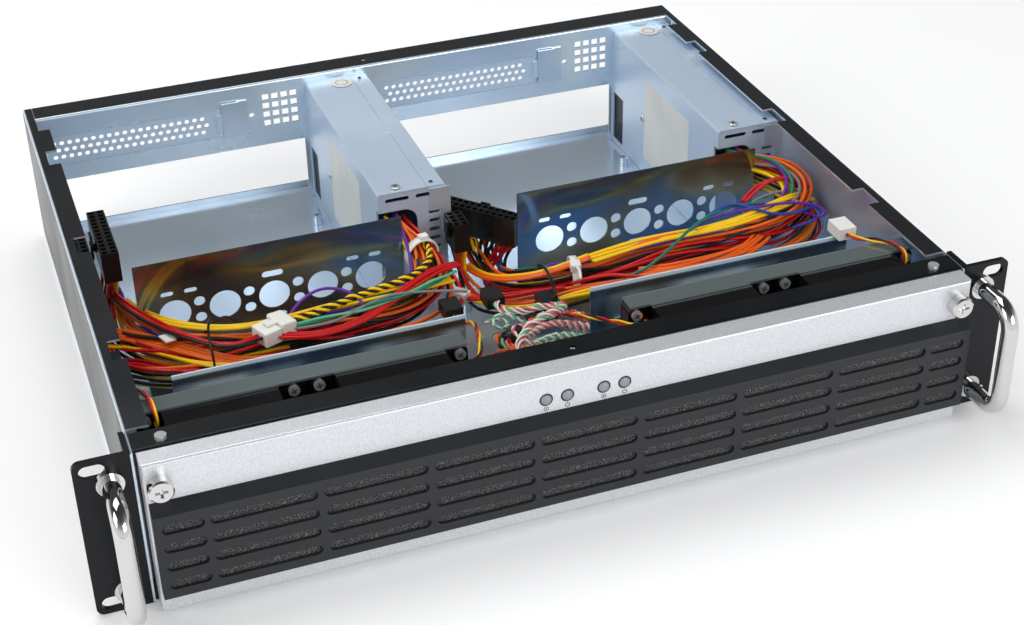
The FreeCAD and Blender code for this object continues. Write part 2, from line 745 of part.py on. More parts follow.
def make_supply_gussets():
    """The folded gussets screwed to the front right corner of each supply."""
    body = new_body("supply_gussets", 0, supply_front, floor_top)
    for left in supply_lefts:
        corner = left + supply_width
        outer = corner + gusset_stand_off
        inner = corner - gusset_width
        narrow = corner - gusset_width / 4
        top = supply_height - 1.5
        face = Drawing().polygon([
            (inner, top), (inner, top - gusset_leg), (narrow, top - gusset_leg),
            (narrow, top - gusset_drop + 6), (outer, top - gusset_drop), (outer, top)])
        pad(body, "XZ", -supply_sheet, supply_sheet, face)
        leg = Drawing().rectangle(outer - supply_sheet, -supply_sheet, outer, gusset_leg)
        pad(body, "XY", top - gusset_drop + 1, gusset_drop - 5, leg)


def make_supply_inlet(name, left):
    """The three-pin mains inlet in the supply's rear end."""
    middle = left + supply_width / 2
    rear = wall_front - supply_sheet
    body = new_body("supply_inlet_" + name, middle, rear, inlet_middle)
    half_w = inlet_width / 2 - fit
    half_h = inlet_height / 2 - fit
    block = Drawing().rectangle(-half_w, -half_h, half_w, half_h)
    pad(body, "XZ", supply_sheet - inlet_depth, inlet_depth, block)
    well_w = half_w - 2
    well_h = half_h - 2
    well = Drawing().polygon([
        (-well_w, -well_h), (well_w, -well_h), (well_w, well_h - 4), (well_w - 4, well_h),
        (4 - well_w, well_h), (-well_w, well_h - 4)])
    cut(body, "XZ", supply_sheet + 2 - inlet_depth, inlet_depth, well)
    pins = Drawing()
    for x, z in ((-7, -1), (0, 2.5), (7, -1)):
        pins.rectangle(x - 1, z - 2, x + 1, z + 2)
    pad(body, "XZ", supply_sheet + 1 - inlet_depth, inlet_depth - 4, pins)


# ---------------------------------------------------------------- fans

def make_fan_frame(label, x, y, z, side, depth, corner):
    """A square axial fan frame: round duct, cross struts and the bearing post of its rotor."""
    body = new_body(label, x, y, z)
    half = side / 2
    duct = side - 2 * fan_rim
    outline = Drawing().rectangle(-half, -half, half, half).circle(0, 0, duct)
    pad(body, "XZ", 0, depth, outline)
    round_edges(body, side / 20, lambda edge: runs_along(edge, ALONG_Y)
                and near(abs(edge.CenterOfMass.x), half))
    holes = Drawing()
    for across in (-1, 1):
        for up in (-1, 1):
            holes.circle(across * corner / 2, up * corner / 2, side / 20)
    cut(body, "XZ", -1, depth + 2, holes)
    strut = side / 40
    reach = half - 0.75 * fan_rim
    back = depth - fan_strut_depth
    bars = Drawing().rectangle(-strut, -reach, strut, reach)
    pad(body, "XZ", back, fan_strut_depth, bars)
    bars = Drawing().rectangle(-reach, -strut, reach, strut)
    pad(body, "XZ", back, fan_strut_depth, bars)
    pad(body, "XZ", back, fan_strut_depth, Drawing().circle(0, 0, side * 0.4))
    post_length = depth / 2
    post = Drawing().circle(0, 0, fan_post)
    pad(body, "XZ", depth - 1 - post_length, post_length, post)
    bore = Drawing().circle(0, 0, fan_shaft + 2 * running_gap)
    cut(body, "XZ", depth - 2 - post_length, post_length + 1.2, bore)
    return body


def open_corners(body):
    """Cut a front fan's corners away in front of its rear lugs, where its screws' heads lie."""
    half = fan_side / 2
    inner = half - fan_notch
    beyond = half + 1
    corners = Drawing()
    for across in (-1, 1):
        for up in (-1, 1):
            corners.rectangle(across * inner, up * inner, across * beyond, up * beyond)
    cut(body, "XZ", -1, fan_depth - fan_lug + 1, corners)


def make_fan_rotor(label, x, y, z, side, depth, blades):
    """A fan rotor: hub cup, shaft and twisted blades."""
    body = new_body(label, x, y, z)
    hub = side * 0.2
    low = depth * 0.08
    high = depth - 2
    shaft = fan_shaft / 2
    cup = Drawing().polygon([
        (0, low), (hub, low), (hub, high), (hub - 1, high), (hub - 1, low + 1), (shaft, low + 1),
        (shaft, depth - 1), (0, depth - 1)])
    revolve(body, cup)
    tip = side / 2 - fan_rim - fan_tip_gap
    front = low + 0.4
    rear = high - 0.2
    root_half = side * 0.055
    tip_half = side * 0.11
    root = Drawing().polygon([(front, -root_half - 0.5), (front, -root_half + 0.5),
                              (rear, root_half + 0.5), (rear, root_half - 0.5)])
    edge = Drawing().polygon([(front, -tip_half - 0.4), (front, -tip_half + 0.4),
                              (rear, tip_half + 0.4), (rear, tip_half - 0.4)])
    root_sketch = sketch_on(body, "YZ", hub - 0.8, root)
    tip_sketch = sketch_on(body, "YZ", tip, edge)
    blade = body.newObject("PartDesign::AdditiveLoft", "blade")
    blade.Profile = root_sketch
    blade.Sections = [tip_sketch]
    blade.Ruled = True
    body.Tip = blade
    turn_pattern(body, blade, blades)


def make_front_fans():
    """Four fans, two behind each half of the grille."""
    height = floor_top + fan_side / 2
    for place, x in enumerate(fan_middles, 1):
        frame = make_fan_frame("fan_frame_%d" % place, x, fan_front, height, fan_side, fan_depth,
                               fan_screw_pitch)
        open_corners(frame)
        make_fan_rotor("fan_rotor_%d" % place, x, fan_front, height, fan_side, fan_depth, 7)


def make_supply_fans(name, left):
    """The small fan in the lower rear corner of a supply."""
    x = left + supply_width / 2
    y = wall_front - supply_sheet - supply_fan_gap - supply_fan_depth
    z = floor_top + supply_sheet + supply_fan_gap + supply_fan_side / 2
    make_fan_frame("supply_fan_frame_" + name, x, y, z, supply_fan_side, supply_fan_depth,
                   supply_fan_side - 6)
    make_fan_rotor("supply_fan_rotor_" + name, x, y, z, supply_fan_side, supply_fan_depth, 5)


def make_fan_bracket(name, side):
    """The upright behind two fans, with its top folded forward over them."""
    rear_face = fan_front + fan_depth
    body = new_body("fan_bracket_" + name, side * fan_middle, rear_face, floor_top)
    half = fan_pitch / 2 + fan_side / 2 - bracket_side_margin
    top = fan_side + fit + sheet_metal
    profile = Drawing().polygon([
        (0, 0), (bracket_foot, 0), (bracket_foot, sheet_metal), (sheet_metal, sheet_metal),
        (sheet_metal, top), (sheet_metal - bracket_flange, top),
        (sheet_metal - bracket_flange, top - sheet_metal), (0, top - sheet_metal)])
    pad(body, "YZ", -half, 2 * half, profile)
    holes = Drawing()
    for step in (-1, 1):
        x = step * fan_pitch / 2
        holes.circle(x, fan_side / 2, fan_side - 5)
        for across in (-1, 1):
            for up in (-1, 1):
                holes.circle(x + across * fan_screw_pitch / 2,
                             fan_side / 2 + up * fan_screw_pitch / 2, 4)
    cut(body, "XZ", -1, sheet_metal + 2, holes)
    round_edges(body, bend_radius + sheet_metal, lambda edge: runs_along(edge, ALONG_X)
                and near(edge.CenterOfMass.y, sheet_metal) and near(edge.CenterOfMass.z, top))


# ---------------------------------------------------------------- front

def make_front_panel():
    """The folded steel front between the side walls, with a round opening at each fan."""
    body = new_body("front_panel")
    half = inner_half - bend_radius
    top = case_height
    profile = Drawing().polygon([
        (0, floor_top), (panel_flange, floor_top), (panel_flange, floor_top + sheet_metal),
        (sheet_metal, floor_top + sheet_metal), (sheet_metal, top - sheet_metal),
        (panel_flange, top - sheet_metal), (panel_flange, top), (0, top)])
    pad(body, "YZ", -half, 2 * half, profile)
    openings = Drawing()
    height = floor_top + fan_side / 2
    for x in fan_middles:
        openings.circle(x, height, fan_side - 12)
    for side in (-1, 1):
        openings.circle(side * thumb_half_span, thumb_height, thumb_hole)
    openings.rectangle(-light_outer - 6, light_height - 4, light_outer + 6, light_height + 4)
    cut(body, "XZ", -1, sheet_metal + 2, openings)
    screw_holes = Drawing()
    for side in (-1, 0, 1):
        screw_holes.circle(side * panel_screw_side, panel_screw_inset, screw_hole)
    cut(body, "XY", top - 2 * sheet_metal, 3 * sheet_metal, screw_holes)
    round_edges(body, bend_radius + sheet_metal, lambda edge: runs_along(edge, ALONG_X)
                and near(edge.CenterOfMass.y, 0) and near(edge.CenterOfMass.z, top))


def make_rack_ear(name, side):
    """A folded rack ear: slotted front plate and the leg along the case's side."""
    body = new_body("rack_ear_" + name)
    leg_outer = half_width + ear_sheet
    profile = Drawing().polygon([
        (side * half_width, 0), (side * ear_reach, 0), (side * ear_reach, ear_sheet),
        (side * leg_outer, ear_sheet), (side * leg_outer, ear_leg), (side * half_width, ear_leg)])
    pad(body, "XY", 0, case_height, profile)
    round_edges(body, ear_corner, lambda edge: runs_along(edge, ALONG_Y)
                and near(abs(edge.CenterOfMass.x), ear_reach))
    slots = Drawing()
    for up in (-1, 1):
        slots.slot(side * (ear_reach - ear_slot_inset), case_height / 2 + up * ear_slot_rise,
                   ear_slot_length, ear_slot_width)
        slots.circle(side * handle_side, handle_middle + up * handle_rise, 4.4)
    cut(body, "XZ", -1, ear_sheet + 2, slots)
    holes = Drawing()
    for up in (-1, 1):
        holes.circle(ear_leg - ear_screw_inset, handle_middle + up * ear_screw_rise, screw_hole)
    cut(body, "YZ", side * (half_width + ear_sheet / 2) - ear_sheet, 2 * ear_sheet, holes)


def make_handle(name, side):
    """A bow handle: one round bar bent to two feet, each drilled for its screw."""
    body = new_body("handle_" + name, side * handle_side)
    bar = handle_reach - handle_diameter / 2
    high = handle_middle + handle_rise
    low = handle_middle - handle_rise
    spine = Drawing()
    bend = number(handle_bend)
    front, top, bottom = -number(bar), number(high), number(low)
    corner_top = Part.Circle(Vector(front + bend, top - bend, 0), Vector(0, 0, 1), bend)
    corner_low = Part.Circle(Vector(front + bend, bottom + bend, 0), Vector(0, 0, 1), bend)
    spine.edges = [
        Part.LineSegment(Vector(0, top, 0), Vector(front + bend, top, 0)),
        Part.ArcOfCircle(corner_top, math.pi / 2, math.pi),
        Part.LineSegment(Vector(front, top - bend, 0), Vector(front, bottom + bend, 0)),
        Part.ArcOfCircle(corner_low, math.pi, 1.5 * math.pi),
        Part.LineSegment(Vector(front + bend, bottom, 0), Vector(0, bottom, 0))]
    for i in range(4):
        spine.join(i, i + 1)
    spine.hold_point(0, 1, 0, high)
    spine.hold_point(1, 3, -bar + handle_bend, high - handle_bend)
    spine.hold_point(1, 1, -bar + handle_bend, high)
    spine.hold("DistanceY", 1, 2, high - handle_bend)
    spine.hold_point(3, 3, -bar + handle_bend, low + handle_bend)
    spine.hold_point(3, 2, -bar + handle_bend, low)
    spine.hold("DistanceY", 3, 1, low + handle_bend)
    spine.hold_point(4, 2, 0, low)
    route = sketch_on(body, "YZ", 0, spine)
    section = sketch_on(body, "XZ", 0, Drawing().circle(0, high, handle_diameter))
    pipe = body.newObject("PartDesign::AdditivePipe", "bar")
    pipe.Profile = section
    pipe.Spine = (route, ["Edge%d" % (i + 1) for i in range(5)])
    body.Tip = pipe
    drill = Drawing().circle(0, high, 4).circle(0, low, 4)
    cut(body, "XZ", -12, 13, drill)


def make_ferrules():
    """The four rings between the handles' feet and the ears."""
    body = new_body("handle_ferrules")
    rings = Drawing()
    for side in (-1, 1):
        for up in (-1, 1):
            z = handle_middle + up * handle_rise
            rings.circle(side * handle_side, z, ferrule_diameter)
            rings.circle(side * handle_side, z, handle_diameter + 2 * running_gap)
    pad(body, "XZ", -ferrule_length, ferrule_length, rings)


def make_bezel():
    """The aluminium bezel: a shallow open-backed box with the grille's window."""
    body = new_body("bezel")
    outer = Drawing().rectangle(-bezel_half, bezel_bottom, bezel_half, bezel_top)
    pad(body, "XZ", -bezel_depth, bezel_depth, outer)
    round_edges(body, bezel_edge, lambda edge: near(edge.CenterOfMass.y, -bezel_depth))
    inner_side = bezel_half - bezel_wall
    hollow = Drawing().rectangle(-inner_side, bezel_bottom + bezel_wall, inner_side,
                                 bezel_top - bezel_wall)
    cut(body, "XZ", bezel_wall - bezel_depth, bezel_depth, hollow)
    openings = Drawing()
    window = grille_half - window_margin
    openings.rectangle(-window, grille_bottom + window_margin / 2, window,
                       grille_front_top - window_margin / 2)
    for side in (-1, 1):
        openings.circle(side * thumb_half_span, thumb_height, thumb_hole)
        for x in (light_inner, light_outer):
            openings.circle(side * x, light_height, light_diameter - 1.2 + 2 * running_gap)
    cut(body, "XZ", -bezel_depth - 1, bezel_wall + 2, openings)


def make_grille():
    """The raised grille: a hollow tray with a sloped top and four rows of long slots."""
    body = new_body("grille", 0, -bezel_depth)
    outside = Drawing().polygon([
        (0, grille_bottom), (0, grille_top), (-grille_rise, grille_front_top),
        (-grille_rise, grille_bottom)])
    pad(body, "YZ", -grille_half, 2 * grille_half, outside)
    slope = grille_wall * 1.2
    inside = Drawing().polygon([
        (1, grille_bottom + grille_wall), (1, grille_top - grille_wall + 0.6),
        (grille_wall - grille_rise, grille_front_top - slope),
        (grille_wall - grille_rise, grille_bottom + grille_wall)])
    cut(body, "YZ", grille_wall - grille_half, 2 * (grille_half - grille_wall), inside)
    slots = Drawing()
    short = grille_half - 3.5 * grille_slot_pitch - 2.4
    for column in range(-3, 4):
        slots.slot(column * grille_slot_pitch, grille_row_first, grille_slot_length,
                   grille_slot_height)
    for side in (-1, 1):
        slots.slot(side * (3.5 * grille_slot_pitch + short / 2), grille_row_first, short - 2,
                   grille_slot_height)
    first = cut(body, "XZ", -grille_rise - 1, grille_wall + 1.5, slots)
    repeat(body, first, "Z", grille_row_pitch, 4)


def make_foam():
    """The filter foam that lies in the grille, behind its slots."""
    body = new_body("filter_foam", 0, -bezel_depth)
    half = grille_half - grille_wall - fit
    sheet_of_foam = Drawing().rectangle(-half, grille_bottom + grille_wall + fit, half,
                                        grille_front_top - 1.2 * grille_wall - fit)
    depth = grille_rise - grille_wall
    pad(body, "XZ", -depth + fit, depth - 2 * fit, sheet_of_foam)


def make_thumbscrew(name, side):
    """A captive screw of the bezel, with a wide slotted head and a plain shank."""
    body = new_body("thumbscrew_" + name, side * thumb_half_span, -bezel_depth - running_gap,
                    thumb_height)
    head = thumb_diameter / 2
    shank = thumb_shank / 2
    length = bezel_depth + 4
    profile = Drawing().polygon([
        (0, -thumb_head), (head - 0.8, -thumb_head), (head, 0.8 - thumb_head), (head, 0),
        (shank, 0), (shank, length), (0, length)])
    revolve(body, profile)
    cross = Drawing().rectangle(-0.7, -3, 0.7, 3)
    cut(body, "XZ", -thumb_head - 1, 2.6, cross)
    cross = Drawing().rectangle(-3, -0.7, 3, 0.7)
    cut(body, "XZ", -thumb_head - 1, 2.6, cross)


def make_status_lights():
    """Four domed indicator lights pressed into the bezel, two for each node."""
    body = new_body("status_lights", -light_outer, -bezel_depth, light_height)
    stem = light_diameter / 2 - 0.6
    rim = light_diameter / 2
    profile = Drawing().polygon([
        (0, -light_proud), (rim * 0.55, -light_proud * 0.82), (rim * 0.88, -light_proud * 0.45),
        (rim, 0), (stem, 0), (stem, light_stem), (0, light_stem)])
    light = revolve(body, profile)
    repeat(body, light, "X", light_outer - light_inner, 2, ("X", light_outer + light_inner, 2))


def make_light_board():
    """The narrow circuit board behind the bezel that carries the indicator lights."""
    body = new_body("light_board", 0, light_stem - bezel_depth, light_height)
    half = light_outer + light_diameter
    plate = Drawing().rectangle(-half, -light_diameter / 2 - 1, half, light_diameter / 2 + 1)
    pad(body, "XZ", 0, board_sheet, plate)


# ---------------------------------------------------------------- screws

def screws(label, places, head_height, length):
    """Identical flat-headed screws, given as (x, y, z of the seat, direction of the shank)."""
    rods = []
    for x, y, z, way in places:
        for diameter, back, run in ((screw_head, -head_height, head_height),
                                    (screw_shank, -head_height / 2, length + head_height / 2)):
            rod = doc.addObject("Part::Cylinder", "rod")
            bind(rod, "Radius", diameter / 2)
            bind(rod, "Height", run)
            rod.Placement = Placement(Vector(), Rotation(Vector(0, 0, 1), way))
            start = Vector(way) * 1
            for axis, seat, part in (("x", x, start.x), ("y", y, start.y), ("z", z, start.z)):
                bind(rod, "Placement.Base." + axis, seat + part * back)
            rods.append(rod)
    group = doc.addObject("Part::MultiFuse", label)
    group.Label = label
    group.Shapes = rods
    bind(group, "Placement.Base.y", front_face)
    nodes.append(group)


def make_screws():
    """The front panel's flange screws, the fans' upper screws and the ears' screws."""
    screws("panel_screws", [(side * panel_screw_side, panel_screw_inset, case_height, -ALONG_Z)
                            for side in (-1, 1)], screw_rise, 5)
    upper = floor_top + (fan_side + fan_screw_pitch) / 2
    seat = fan_front + fan_depth - fan_lug
    fan_places = [(x + across * fan_screw_pitch / 2, seat, upper, ALONG_Y)
                  for x in fan_middles for across in (-1, 1)]
    screws("fan_screws", fan_places, screw_rise, fan_lug + 4)
    ear_places = []
    for side in (-1, 1):
        for up in (-1, 1):
            ear_places.append((side * (half_width + ear_sheet), ear_leg - ear_screw_inset,
                               handle_middle + up * ear_screw_rise, -side * ALONG_X))
    screws("ear_screws", ear_places, screw_rise / 2, ear_sheet)


# ---------------------------------------------------------------- wiring

def in_case(x, y, z):
    """A place along a lead, which moves with the case when its outer size changes."""
    return Vector(x * number(case_width) / DRAWN_CASE.x, y * number(case_depth) / DRAWN_CASE.y,
                  z * number(case_height) / DRAWN_CASE.z)


def lead(label, points, diameter):
    """A loose lead: straight runs joined by tangent arcs, swept with a round section."""
    route = [in_case(*point) for point in points]
    edges = []
    cursor = route[0]
    radii = []
    for before, corner, after in zip(route, route[1:], route[2:]):
        arriving = (corner - before).normalize()
        leaving = (after - corner).normalize()
        half_turn = arriving.getAngle(leaving) / 2
        reach = 0.45 * min((corner - before).Length, (after - corner).Length)
        start = corner - arriving * reach
        end = corner + leaving * reach
        inward = (leaving - arriving).normalize()
        radius = reach / math.tan(half_turn)
        middle = corner + inward * (radius / math.cos(half_turn) - radius)
        edges.append(Part.LineSegment(cursor, start).toShape())
        edges.append(Part.Arc(start, middle, end).toShape())
        radii.append(radius)
        cursor = end
    edges.append(Part.LineSegment(cursor, route[-1]).toShape())
    path = Part.Wire(edges)
    ring = Part.Circle(route[0], route[1] - route[0], number(diameter) / 2)
    section = Part.Wire(ring.toShape())
    tube = path.makePipeShell([section], True, True)
    expected = math.pi * number(diameter) ** 2 / 4 * path.Length
    print("%s: length %.0f, tightest radius %.1f, volume ratio %.4f"
          % (label, path.Length, min(radii), tube.Volume / expected))
    piece = doc.addObject("Part::Feature", label)
    piece.Label = label
    piece.Shape = tube
    bind(piece, "Placement.Base.y", front_face)
    nodes.append(piece)


def make_supply_leads():
    """The bundled leads of the supplies: the board's lead and the spare one beside it."""
    lead("main_lead_left", [
        (-31, 203, 62), (-31, 189, 61.5), (-26.5, 176, 57), (-24, 161, 51), (-30, 147, 47),
        (-44, 138, 46), (-63, 133, 47), (-85, 131, 48), (-107, 131, 46), (-128, 130, 45),
        (-148, 130, 46), (-167, 133, 47), (-181, 142, 47), (-190, 156, 45), (-193, 173, 41),
        (-193, 190, 38), (-193, 204, 41), (-193, 215, 50), (-193, 215, 64)], main_lead)
    lead("spare_lead_left", [
        (-24.5, 203, 51.5), (-24.5, 189, 50.5), (-18, 175, 47), (-13, 159, 43), (-14, 142, 41),
        (-24, 126, 41), (-42, 116, 43), (-66, 111, 45), (-92, 110, 46), (-118, 109, 45),
        (-144, 108, 45), (-168, 110, 46), (-188, 117, 46), (-201, 130, 44), (-206.5, 147, 41),
        (-207, 165, 38), (-207, 182, 37), (-207, 197, 40), (-207, 208, 49),
        (-207, 208, 62)], spare_lead)
    lead("main_lead_right", [
        (181.3, 203, 62), (183.5, 190, 62), (192.5, 177, 63), (198, 163, 64), (200, 147, 62),
        (192, 134, 58), (176, 127, 55), (156, 125, 53), (135, 127, 51), (113, 130, 48.5),
        (91, 131, 47), (70, 133, 45), (51, 137, 42), (35, 146, 37), (25, 159, 31),
        (20.5, 174, 26), (20, 188, 24), (20, 199, 31), (20, 199, 43)], main_lead)
    lead("spare_lead_right", [
        (187.8, 203, 51.5), (189.5, 190, 51), (197, 177, 51), (204, 161, 50), (206, 144, 47),
        (200, 128, 45), (185, 116, 45), (164, 109, 46), (140, 107, 47), (116, 108, 46),
        (92, 110, 45), (69, 113, 44), (47, 117, 43), (27, 122, 41), (11, 131, 37),
        (2.5, 145, 32), (1, 160, 28), (1, 174, 28), (1, 184, 36), (1, 184, 48)], spare_lead)


def make_small_leads():
    """The fans' leads, which leave their frames' front corners, and the lights' lead."""
    lead("fan_lead_1", [
        (-197.6, 37, 75.5), (-197.6, 32, 75.5), (-197.6, 28.6, 79.5), (-197.8, 29.6, 84),
        (-198.2, 34.5, 86.2), (-199, 43, 86.2), (-201, 52, 84), (-204, 62, 78.5),
        (-206.5, 74, 71), (-207.5, 87, 63), (-207, 99, 57), (-206, 110, 54),
        (-206, 120, 54)], fan_lead)
    lead("fan_lead_2", [
        (-52.3, 37, 73), (-52.3, 31.5, 73), (-50.5, 27.5, 75), (-45.5, 26, 77), (-39.5, 29, 78),
        (-36, 36, 78.5), (-34, 46, 77), (-31, 56, 74), (-28, 67, 70), (-26, 79, 64),
        (-26, 90, 58), (-27, 99, 54), (-27, 107, 53)], fan_lead)
    lead("fan_lead_3", [
        (52.3, 37, 73), (52.3, 31.5, 73), (50.5, 27.5, 75.5), (46, 26.5, 77.5), (40.5, 29.5, 77.5),
        (36.5, 37, 75), (34, 47, 71), (31.5, 58, 67), (29, 69, 62), (27, 81, 56),
        (26, 92, 51), (25.5, 99, 50)], fan_lead)
    lead("fan_lead_4", [
        (197.7, 37, 73.5), (197.7, 32, 73.5), (197.7, 28.6, 78), (198, 30, 84), (196, 35.5, 86),
        (192, 43, 85.6), (186.5, 50, 84), (182.5, 55, 83), (181, 60, 83)], fan_lead)
    lead("panel_lead", [
        (0, -4.5, 73.5), (0, 5, 73.5), (-5, 14, 72), (-13, 22, 71), (-17, 33, 72),
        (-13, 44, 74), (-3, 52, 75), (9, 57, 75), (19, 64, 72), (21, 75, 67), (14, 84, 62),
        (4, 90, 58), (-3, 98, 55), (-3, 108, 54)], panel_lead)


def plug(label, x, y, z, turn, columns):
    """A two-row nylon housing, open upwards, with its latch; the lead enters from below."""
    foot = in_case(x, y, z)
    body = new_body(label, foot.x, foot.y, foot.z, turn)
    half = columns * plug_cell / 2
    block = Drawing().rectangle(-half, -plug_thickness / 2, half, plug_thickness / 2)
    pad(body, "XY", 0, plug_length, block)
    latch = Drawing().polygon([
        (plug_thickness / 2, plug_length * 0.4), (plug_thickness / 2 + 2.4, plug_length * 0.55),
        (plug_thickness / 2 + 2.4, plug_length), (plug_thickness / 2 + 1.2, plug_length),
        (plug_thickness / 2 + 1.2, plug_length * 0.6), (plug_thickness / 2, plug_length * 0.55)])
    pad(body, "YZ", -3, 6, latch)
    wells = Drawing()
    wall = plug_cell * 0.16
    for row in (-1, 1):
        middle = row * plug_thickness / 4
        reach = plug_cell / 2 - wall
        wells.rectangle(wall - half, middle - reach, plug_cell - wall - half, middle + reach)
    first = cut(body, "XY", plug_length - 8, 9, wells)
    repeat(body, first, "X", plug_cell, columns)


def make_plugs():
    """The plugs on the supplies' leads, and the small ones on the fans' and lights' leads."""
    plug("main_plug_left", -193, 215, 64, 90, 12)
    plug("main_plug_right", 20, 199, 43, -49, 12)
    plug("spare_plug_left", -207, 208, 62, -90, 4)
    plug("spare_plug_right", 1, 184, 48, 90, 4)
    body = new_body("small_plugs")
    half_wide = small_plug_width / 2
    half_high = small_plug_height / 2
    for place in ((-206, 120, 54), (-27, 107, 53), (25.5, 99, 50), (181, 60, 83),
                  (-3, 108, 54)):
        end = in_case(*place)
        block = Drawing().rectangle(end.x - half_wide, end.z - half_high,
                                    end.x + half_wide, end.z + half_high)
        pad(body, "XZ", end.y, small_plug_length, block)


# ---------------------------------------------------------------- build, check and write

def build():
    make_chassis_tray()
    make_rear_wall()
    for (name, _), bay in zip(SIDES, bay_lefts):
        make_slot_cover(name, bay)
    make_slot_clamps()
    make_standoffs()
    for name, side in SIDES:
        make_drive_tray(name, side)
    for (name, _), left in zip(SIDES, supply_lefts):
        make_supply_case(name, left)
        make_supply_cover(name, left)
        make_supply_inlet(name, left)
        make_supply_fans(name, left)
    make_supply_gussets()
    make_front_fans()
    for name, side in SIDES:
        make_fan_bracket(name, side)
    make_front_panel()
    for name, side in SIDES:
        make_rack_ear(name, side)
        make_handle(name, side)
    make_ferrules()
    make_bezel()
    make_grille()
    make_foam()
    for name, side in SIDES:
        make_thumbscrew(name, side)
    make_status_lights()
    make_light_board()
    make_screws()
    make_supply_leads()
    make_small_leads()
    make_plugs()
    doc.recompute()


def check():
    """Stop on a failed feature, a cut that takes nothing away or an empty or broken shape."""
    faults = []
    for thing in doc.Objects:
        if {"Invalid", "Error"} & set(thing.State):
            faults.append("%s failed in %s" % (thing.Name, thing.getParentGeoFeatureGroup()))
        if thing.TypeId == "PartDesign::Pocket":
            if thing.Shape.Volume >= thing.BaseFeature.Shape.Volume - 0.01:
                faults.append("%s cuts nothing" % thing.Name)
    for node in nodes:
        if node.Shape.isNull() or not node.Shape.isValid() or not node.Shape.Solids:
            faults.append("%s has no sound shape" % node.Label)
    if faults:
        raise RuntimeError("; ".join(faults))


def write():
    os.makedirs("parts", exist_ok=True)
    for node in nodes:
        node.Shape.exportStep("parts/%s.step" % node.Label)
    print("%d nodes" % len(nodes))


build()
check()
write()
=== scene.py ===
import bpy
import math
import random
import numpy as np
from mathutils import Matrix, Vector


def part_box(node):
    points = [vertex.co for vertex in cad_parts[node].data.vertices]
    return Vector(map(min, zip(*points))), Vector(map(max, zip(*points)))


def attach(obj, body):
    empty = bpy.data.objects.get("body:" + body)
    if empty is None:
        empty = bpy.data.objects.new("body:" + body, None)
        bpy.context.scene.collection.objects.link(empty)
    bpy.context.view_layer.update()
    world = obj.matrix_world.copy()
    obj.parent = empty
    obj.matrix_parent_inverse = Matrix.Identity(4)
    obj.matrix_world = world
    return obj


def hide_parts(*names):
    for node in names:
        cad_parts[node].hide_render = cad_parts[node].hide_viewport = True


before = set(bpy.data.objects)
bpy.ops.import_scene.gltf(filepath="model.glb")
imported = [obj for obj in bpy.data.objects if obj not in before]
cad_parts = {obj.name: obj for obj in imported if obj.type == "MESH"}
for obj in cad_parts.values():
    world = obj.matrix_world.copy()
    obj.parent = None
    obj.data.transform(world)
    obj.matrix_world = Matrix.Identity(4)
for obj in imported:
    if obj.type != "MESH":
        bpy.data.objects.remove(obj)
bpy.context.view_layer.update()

# Places are given in millimetres in the case's own frame: X to the right from the middle, Y to
# the rear from the front face of the rack ears and Z up from the underside.
MM = 0.001
EAR_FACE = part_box("rack_ear_left")[0].y


def at(x, y, z):
    return Vector((x * MM, y * MM + EAR_FACE, z * MM))


# ---------------------------------------------------------------- shader helpers

def new_material(name, color, metallic, roughness, **inputs):
    material = bpy.data.materials.new(name)
    material.use_nodes = True
    shader = material.node_tree.nodes["Principled BSDF"]
    shader.inputs["Base Color"].default_value = (*color, 1)
    shader.inputs["Metallic"].default_value = metallic
    shader.inputs["Roughness"].default_value = roughness
    for socket, value in inputs.items():
        shader.inputs[socket.replace("_", " ")].default_value = value
    return material, material.node_tree, shader


def node(tree, kind, **settings):
    made = tree.nodes.new(kind)
    for key, value in settings.items():
        if key in made.inputs:
            made.inputs[key].default_value = value
        else:
            setattr(made, key, value)
    return made


def feed(tree, socket, value):
    """Link another socket to this one, or set it to a number or a colour."""
    if isinstance(value, bpy.types.NodeSocket):
        tree.links.new(value, socket)
    else:
        socket.default_value = (*value, 1) if isinstance(value, tuple) else value


def object_coordinates(tree, scale=(1, 1, 1)):
    """The piece's own coordinates in metres, stretched by scale."""
    source = node(tree, "ShaderNodeTexCoord")
    mapping = node(tree, "ShaderNodeMapping")
    mapping.inputs["Scale"].default_value = scale
    tree.links.new(source.outputs["Object"], mapping.inputs["Vector"])
    return mapping.outputs["Vector"]


def axes(tree, scale=(1, 1, 1)):
    """The piece's own X, Y and Z, stretched by scale."""
    made = node(tree, "ShaderNodeSeparateXYZ")
    tree.links.new(object_coordinates(tree, scale), made.inputs["Vector"])
    return made.outputs


def noise(tree, scale, detail, stretch=(1, 1, 1)):
    made = node(tree, "ShaderNodeTexNoise", Scale=scale, Detail=detail)
    tree.links.new(object_coordinates(tree, stretch), made.inputs["Vector"])
    return made.outputs["Fac"]


def ramp(tree, factor, stops):
    """A colour ramp; stops are (position, colour)."""
    made = node(tree, "ShaderNodeValToRGB")
    elements = made.color_ramp.elements
    while len(elements) < len(stops):
        elements.new(0.5)
    for element, (position, color) in zip(elements, stops):
        element.position = position
        element.color = (*color, 1)
    tree.links.new(factor, made.inputs["Fac"])
    return made.outputs["Color"]


def grey(level):
    return (level, level, level)


def vary_roughness(tree, shader, factor, low, high):
    tree.links.new(ramp(tree, factor, [(0.3, grey(low)), (0.7, grey(high))]),
                   shader.inputs["Roughness"])


def bump(tree, shader, factor, strength, distance):
    made = node(tree, "ShaderNodeBump", Strength=strength, Distance=distance)
    tree.links.new(factor, made.inputs["Height"])
    tree.links.new(made.outputs["Normal"], shader.inputs["Normal"])


def rolling_lines(tree, shader, strength):
    """Faint lines along a sheet, as rolling leaves them."""
    bump(tree, shader, noise(tree, 60, 2, (0.15, 8, 8)), strength, 0.0004)


